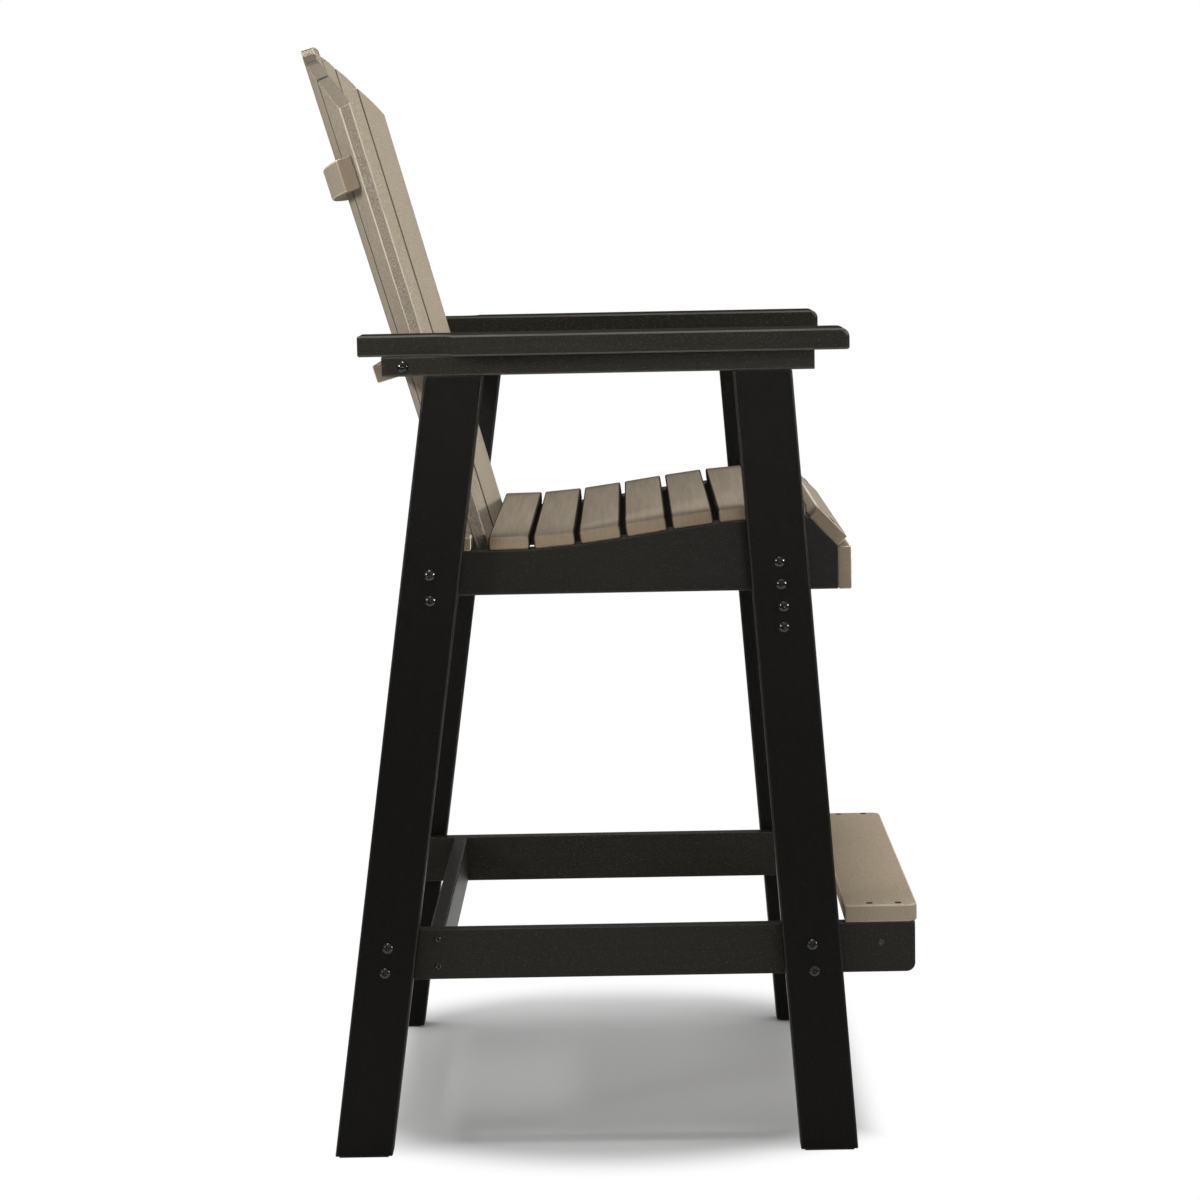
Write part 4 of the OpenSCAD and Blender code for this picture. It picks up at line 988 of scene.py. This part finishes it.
class CHAIR_OT_seat_boards(bpy.types.Operator):
    """Make the taupe boards of the seat: seven slats, the rear board, the sloping slat and the apron"""
    bl_idname = "chair.seat_boards"
    bl_label = "Seat Boards"

    def execute(self, context):
        d = measure()
        places, frames = [], []
        for i, (y, z, tilt) in enumerate(d.slats):
            turn = Matrix.Rotation(-tilt, 4, "X")
            middle = Vector((0, y, z)) + turn @ Vector((0, -d.seat_slat_wide / 2, d.slat_thick / 2))
            places.append((middle, (-tilt, 0, 0)))
            frames.append((Matrix.Translation(middle) @ turn, SEAT_GRAIN + i))
        piece = grow("seat_slats", seat_slat_tree(), places, {
            "Length": 2 * d.inner, "Width": d.seat_slat_wide, "Thickness": d.slat_thick,
            "Edge Radius": d.long_round, "Finish": finish("taupe_seat")}, d.long_round)
        rounds_apart(piece, frames)
        mark_grain(piece, frames, True, 1)
        settle(piece, finish("taupe_seat"))
        claim(piece, [f"seat_slat_{i}" for i in range(1, 8)])
        self.rear_board(d)
        slope = Matrix.Translation((0, d.seat_front, d.nose_z)) @ Matrix.Rotation(d.nose_slope, 4, "X")
        rings = pulled(rectangle((-d.seat_slat_wide, 0), (0, d.slat_thick)), -d.inner, d.inner)
        board("front_slope_slat", [[slope @ p for p in ring] for ring in rings], X, "taupe_board")
        cross_board("front_apron_slat", d.inner, (d.nose_low[0] - d.slat_thick, d.nose_low[0]),
                    (d.rail_under, d.nose_low[1] - PASS_FIT), "taupe_board")
        return {"FINISHED"}

    def rear_board(self, d):
        """The board behind the back slats' feet, with a hollow front edge."""
        front, rear = d.board_front, d.board_front + d.rear_board_deep
        rings = []
        for h in (d.seat_low, d.seat_low + d.slat_thick):
            ring = [(-d.inner, front)]
            for x, v in bow(d.rail_radius(d.board_u), d.radius_at(d.board_u), HOLLOW_HALF, 20):
                y = (h - d.seat_low) * math.tan(d.back_lean) + v / math.cos(d.back_lean)
                ring.append((x, max(y, front)))
            ring += [(d.inner, front), (d.inner, rear), (-d.inner, rear)]
            rings.append([Vector((x, y, h)) for x, y in ring])
        bores = [(Vector((mouth.x, rear, mouth.z)), -Y, rear - mouth.y)
                 for mouth, inward in laid_out(d, "back_slat_screws") if abs(inward.z) < LEVEL]
        board("rear_seat_board", rings, X, "taupe_board", bores=bores)


class CHAIR_OT_back_boards(bpy.types.Operator):
    """Make the fan back: seven slats under an arch, and the two curved rails behind them"""
    bl_idname = "chair.back_boards"
    bl_label = "Back Boards"

    def execute(self, context):
        d = measure()
        places, frames = [], []
        for i, t in enumerate(d.turns):
            if i == SLATS // 2:
                continue
            fan = (Matrix.Rotation(-t, 4, "Z") @ Matrix.Rotation(-math.atan(d.cone * (1 - math.cos(t))), 4, "X")
                   @ Matrix.Rotation(math.atan(d.cone * math.sin(t)), 4, "Y"))
            root = Matrix.Translation((d.back_radius * math.sin(t), d.back_radius * (math.cos(t) - 1), 0)) @ fan
            root = root @ Matrix.Translation((0, d.slat_thick / 2, 0))
            places.append((root.translation, root.to_euler()))
            frames.append((d.in_back @ root @ Matrix.Rotation(-math.pi / 2, 4, "Y"), BACK_GRAIN + i))
        foot = d.slat_width(d.foot_u)
        taper = (d.slat_width(d.top_u) / foot - 1) / (d.top_u - d.foot_u)
        piece = grow("back_slats", fan_slat_tree(), places, {
            "Width": foot, "Taper": taper, "Thickness": d.slat_thick, "Edge Radius": d.long_round,
            "Foot": d.foot_u, "Top": d.top_u, "Arch Radius": d.arch_radius, "Lean": -d.back_lean,
            "Root": (0.0, d.back_line, d.arm_under), "Finish": finish("taupe_slat")}, d.saw_round)
        rounds_apart(piece, frames)
        mark_grain(piece, frames, True, 2, ((0, 1.0), (5, -1.0)))
        settle(piece, finish("taupe_slat"))
        claim(piece, [f"back_slat_{i}" for i in (1, 2, 3, 5, 6, 7)])
        self.middle_slat(d)
        self.upper_rail(d)
        self.lower_rail(d)
        return {"FINISHED"}

    def middle_slat(self, d):
        """The middle slat stands above the arch, with rounded corners."""
        r, corner, foot = d.arch_radius, d.crown_corner, d.foot_u
        apex = d.top_u + d.crown_rise
        side = math.atan((d.slat_width(apex) - d.slat_width(foot)) / 2 / (apex - foot))
        x = d.slat_width(apex) / 2 - corner / math.cos(side)
        u = apex - r + math.sqrt((r - corner) ** 2 - x * x)
        start, end = -math.degrees(side), math.degrees(math.atan2(u - apex + r, x))
        outline = [(-d.slat_width(foot) / 2, foot), (d.slat_width(foot) / 2, foot)]
        outline += arc((x, u), corner, start, end, 8)
        outline += [(a, apex - r + math.sqrt(r * r - a * a)) for a in (x * (1 - k / 5) for k in range(1, 10))]
        outline += arc((-x, u), corner, 180 - end, 180 - start, 8)
        rings = [[d.in_back @ Vector((a, v, b)) for a, b in outline] for v in (0, d.slat_thick)]
        board("back_slat_middle", rings, d.in_back.to_3x3() @ Z, "taupe_slat", "back_slat_4")

    def back_rail(self, d, name, outline, u, high, bores=()):
        rings = [[d.in_back @ Vector((x, v, u + end * high / 2)) for x, v in outline] for end in (-1, 1)]
        board(name, rings, X, "taupe_board", bores=bores)

    def upper_rail(self, d):
        r, middle = d.rail_radius(d.upper_u), d.radius_at(d.upper_u)
        outline = bow(r, middle, d.upper_half) + bow(r + d.upper_rail_thick, middle, d.upper_half)[::-1]
        self.back_rail(d, "upper_back_rail", outline, d.upper_u, d.upper_rail_high)

    def lower_rail(self, d):
        """The rail whose ends reach forward beside the back and lie on the arm rails."""
        outline = [(-d.rail_inner, -d.tab_front), (-d.tab_inner, -d.tab_front)]
        outline += bow(d.rail_radius(d.lower_u), d.radius_at(d.lower_u), d.tab_inner)
        outline += [(d.tab_inner, -d.tab_front), (d.rail_inner, -d.tab_front), (d.rail_inner, d.lower_back),
                    (-d.rail_inner, d.lower_back)]
        to_back = d.in_back.inverted()
        bores = [(mouth - inward * REACH_BEHIND, inward, REACH_BEHIND)
                 for mouth, inward in laid_out(d, "back_slat_screws")
                 if abs((to_back @ mouth).z - d.lower_u) < NEAR_RAIL]
        self.back_rail(d, "lower_back_rail", outline, d.lower_u, d.lower_rail_thick, bores)


class CHAIR_OT_footrest_boards(bpy.types.Operator):
    """Make the stretchers, the footrest board and the member under it"""
    bl_idname = "chair.footrest_boards"
    bl_label = "Footrest Boards"

    def execute(self, context):
        d = measure()
        front, under, top = d.footrest_front + d.footrest_past, d.stretcher_under, d.stretcher_top
        r = d.stretcher_corner
        outline = arc((front + r, under + r), r, 180, 270, 8)
        outline += [(d.stretcher_rear, under), (d.stretcher_rear, top), (front, top)]
        side_boards("side_stretcher", d.stretcher_inner, d.inner, outline, Y, "black_rail")
        thick, middle = d.stretcher_thick / 2, d.footrest_front + d.cross_member_at
        for name, y, low in (("rear_stretcher", d.rear_stretcher, under),
                             ("footrest_cross_member", middle, top - d.cross_member_high)):
            cross_board(name, d.stretcher_inner, (y - thick, y + thick), (low, top), "black_rail")
        r, y = d.footrest_corner, d.footrest_front
        plan = arc((-d.inner + r, y + r), r, 180, 270, 8) + arc((d.inner - r, y + r), r, 270, 360, 8)
        plan += [(d.inner, d.footrest_rear), (-d.inner, d.footrest_rear)]
        rings = [[Vector((x, y, z)) for x, y in plan] for z in (top, top + d.footrest_thick)]
        board("footrest_board", rings, X, "taupe_foot", routed=True)
        return {"FINISHED"}


SCREW_HEAD = {"Diameter": 0.0082, "Height": 0.0006, "Socket": 0.0042}  # what stands out of the board


class CHAIR_OT_fastener_heads(bpy.types.Operator):
    """Make the heads of the bolts and screws where the frame has them"""
    bl_idname = "chair.fastener_heads"
    bl_label = "Fastener Heads"

    def execute(self, context):
        d = measure()
        bolts, screws = head_tree("bolt_heads", True), head_tree("screw_heads", False)
        for name in ("leg_bolts", "arm_rail_bolts"):
            self.heads(name, bolts, "bolt", laid_out(d, name, d.bolt_head_high), {
                "Diameter": d.bolt_head, "Height": d.bolt_head_high, "Socket": 2 * d.bolt_socket / math.sqrt(3),
                "Finish": finish("bolt_coat")})
        for name in ("footrest_screws", "stretcher_screws", "seat_slat_screws", "front_slat_screws",
                     "back_slat_screws", "arm_screws", "cross_rail_screws"):
            self.heads(name, screws, "screw", laid_out(d, name), {
                **SCREW_HEAD, "Finish": finish("screw_coat")})
        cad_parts["leg_top_screws"].material_slots[0].material = finish("screw_coat")
        return {"FINISHED"}

    def heads(self, name, tree, slot, found, inputs):
        places = [(mouth, Z.rotation_difference(inward).to_euler()) for mouth, inward in found]
        piece = grow(name.rstrip("s") + "_heads", tree, places, inputs)
        settle(piece, inputs["Finish"], HEAD_CREASE)
        claim(piece, [name])


LAMPS = (  # name, place, target, diameter and spread in degrees
    ("key", (-0.3, 0.0, 10.0), (0, 0, 0), 3.2, 180),
    ("fill", (-3.4, -0.9, 1.15), (-0.1, -0.05, 0.99), 1.0, 25),
    ("side", (-2.2, 2.8, 2.0), (-0.1, 0.35, 1.25), 1.0, 30),
    ("front", (-1.2, -3.7, 1.9), (0, 0.3, 1.22), 1.4, 30),
)
FLOOR_HALF = 1.5
FLOOR_TONES = ((0.955, 0.955, 0.95), (0.97, 0.97, 0.97))
SHADOW_AT = 0.06  # middle of the shadow along x
SHADOW_REACH = (0.36, 0.48)  # from there to where the floor starts to fade, and to where it has faded
SHADOW_DEPTH = (0.27, 0.345)  # the same, along y only


class CHAIR_OT_studio(bpy.types.Operator):
    """Set up the camera, the lights and the white floor"""
    bl_idname = "chair.studio"
    bl_label = "Studio"

    def execute(self, context):
        v = context.scene.chair_stage
        forward = Vector((math.cos(v.pitch) * math.cos(v.yaw), math.cos(v.pitch) * math.sin(v.yaw),
                          -math.sin(v.pitch)))
        right = forward.cross(Z).normalized()
        up = right.cross(forward)
        across = math.cos(v.roll) * right + math.sin(v.roll) * up
        upward = -math.sin(v.roll) * right + math.cos(v.roll) * up
        data = bpy.data.cameras.new("camera")
        data.lens = v.lens
        data.sensor_width = 36.0
        camera = link("camera", data)
        turn = Matrix((across, upward, -forward)).transposed().to_4x4()
        camera.matrix_world = Matrix.Translation(v.eye) @ turn
        context.scene.camera = camera
        self.floor()
        for name, place, target, size, spread in LAMPS:
            data = bpy.data.lights.new(name, "AREA")
            data.shape = "DISK"
            data.size = size
            data.energy = getattr(v, name)
            data.spread = math.radians(spread)
            lamp = link(name, data)
            lamp.location = place
            lamp.rotation_euler = (Vector(target) - Vector(place)).to_track_quat("-Z", "Y").to_euler()
        self.background(context.scene, v)
        context.scene.view_settings.view_transform = "Standard"
        return {"FINISHED"}

    def background(self, scene, v):
        """White for the camera, and a softer light from above for the chair."""
        scene.world = bpy.data.worlds.new("studio")
        scene.world.use_nodes = True
        tree = scene.world.node_tree
        path = node(tree, "ShaderNodeLightPath").outputs
        seen = maths(tree, "MAXIMUM", path["Is Camera Ray"], path["Is Transmission Ray"])
        way = node(tree, "ShaderNodeSeparateXYZ", {0: node(tree, "ShaderNodeTexCoord").outputs["Generated"]})
        level = ranged(tree, way.outputs[2], {"To Min": v.horizon, "To Max": v.zenith})
        back = tree.nodes["Background"]
        tree.links.new(ranged(tree, seen, {"To Min": level, "To Max": 1.0}), back.inputs["Strength"])
        back.inputs["Color"].default_value = (1, 1, 1, 1)

    def floor(self):
        """A white floor that keeps the shadow near the chair and runs into the white background."""
        mesh = bpy.data.meshes.new("floor")
        reach = (-FLOOR_HALF, FLOOR_HALF)
        mesh.from_pydata([(x, y, 0) for x, y in rectangle(reach, reach)], [], [(0, 1, 2, 3)])
        floor = link("floor", mesh)
        material, tree, shader = new_material("floor_white")
        shader.inputs["Specular IOR Level"].default_value = 0.0
        shader.inputs["Roughness"].default_value = 0.9
        where = node(tree, "ShaderNodeTexCoord").outputs["Object"]
        cloud = node(tree, "ShaderNodeTexNoise", {"Vector": where, "Scale": 3.0})
        tree.links.new(blend(tree, cloud.outputs[0], *FLOOR_TONES), shader.inputs["Base Color"])
        around = node(tree, "ShaderNodeMapping", {"Vector": where, "Location": (-SHADOW_AT, 0, 0)})
        away = node(tree, "ShaderNodeVectorMath", {0: around.outputs[0]}, operation="LENGTH").outputs["Value"]
        aside = maths(tree, "ABSOLUTE", node(tree, "ShaderNodeSeparateXYZ", {0: where}).outputs[1])
        limits = [ranged(tree, distance, {"From Min": near, "From Max": far}, interpolation_type="SMOOTHSTEP")
                  for distance, (near, far) in ((away, SHADOW_REACH), (aside, SHADOW_DEPTH))]
        seen = node(tree, "ShaderNodeLightPath").outputs["Is Camera Ray"]
        white = node(tree, "ShaderNodeEmission", {"Strength": 1.0})
        mixed = node(tree, "ShaderNodeMixShader", {0: times(tree, maths(tree, "MAXIMUM", *limits), seen),
                                                   1: shader.outputs[0], 2: white.outputs[0]})
        tree.links.new(mixed.outputs[0], tree.nodes["Material Output"].inputs["Surface"])
        mesh.materials.append(material)


# Add-on

OPERATORS = (CHAIR_OT_frame_boards, CHAIR_OT_seat_boards, CHAIR_OT_back_boards, CHAIR_OT_footrest_boards,
             CHAIR_OT_fastener_heads, CHAIR_OT_studio)


class CHAIR_PT_panel(bpy.types.Panel):
    """Lists the chair's pieces and values"""
    bl_label = "Slatted Bar Armchair"
    bl_idname = "CHAIR_PT_panel"
    bl_space_type = "VIEW_3D"
    bl_region_type = "UI"
    bl_category = "Armchair"

    def draw(self, context):
        for operator in OPERATORS:
            self.layout.operator(operator.bl_idname)
        for values in (context.scene.chair_finish, context.scene.chair_stage, context.scene.chair_sizes):
            column = self.layout.column(align=True)
            for name in value_names(values):
                column.prop(values, name)


GROUPS = (("chair_sizes", ChairSizes), ("chair_finish", ChairFinish), ("chair_stage", StageValues))


def register():
    for name, group in GROUPS:
        bpy.utils.register_class(group)
        setattr(bpy.types.Scene, name, bpy.props.PointerProperty(type=group))
    for item in OPERATORS + (CHAIR_PT_panel,):
        bpy.utils.register_class(item)


def unregister():
    for item in reversed(OPERATORS + (CHAIR_PT_panel,)):
        bpy.utils.unregister_class(item)
    for name, group in reversed(GROUPS):
        delattr(bpy.types.Scene, name)
        bpy.utils.unregister_class(group)


def main():
    register()
    bpy.ops.chair.studio()
    bpy.ops.chair.frame_boards()
    bpy.ops.chair.seat_boards()
    bpy.ops.chair.back_boards()
    bpy.ops.chair.footrest_boards()
    bpy.ops.chair.fastener_heads()


if __name__ == "__main__":
    main()
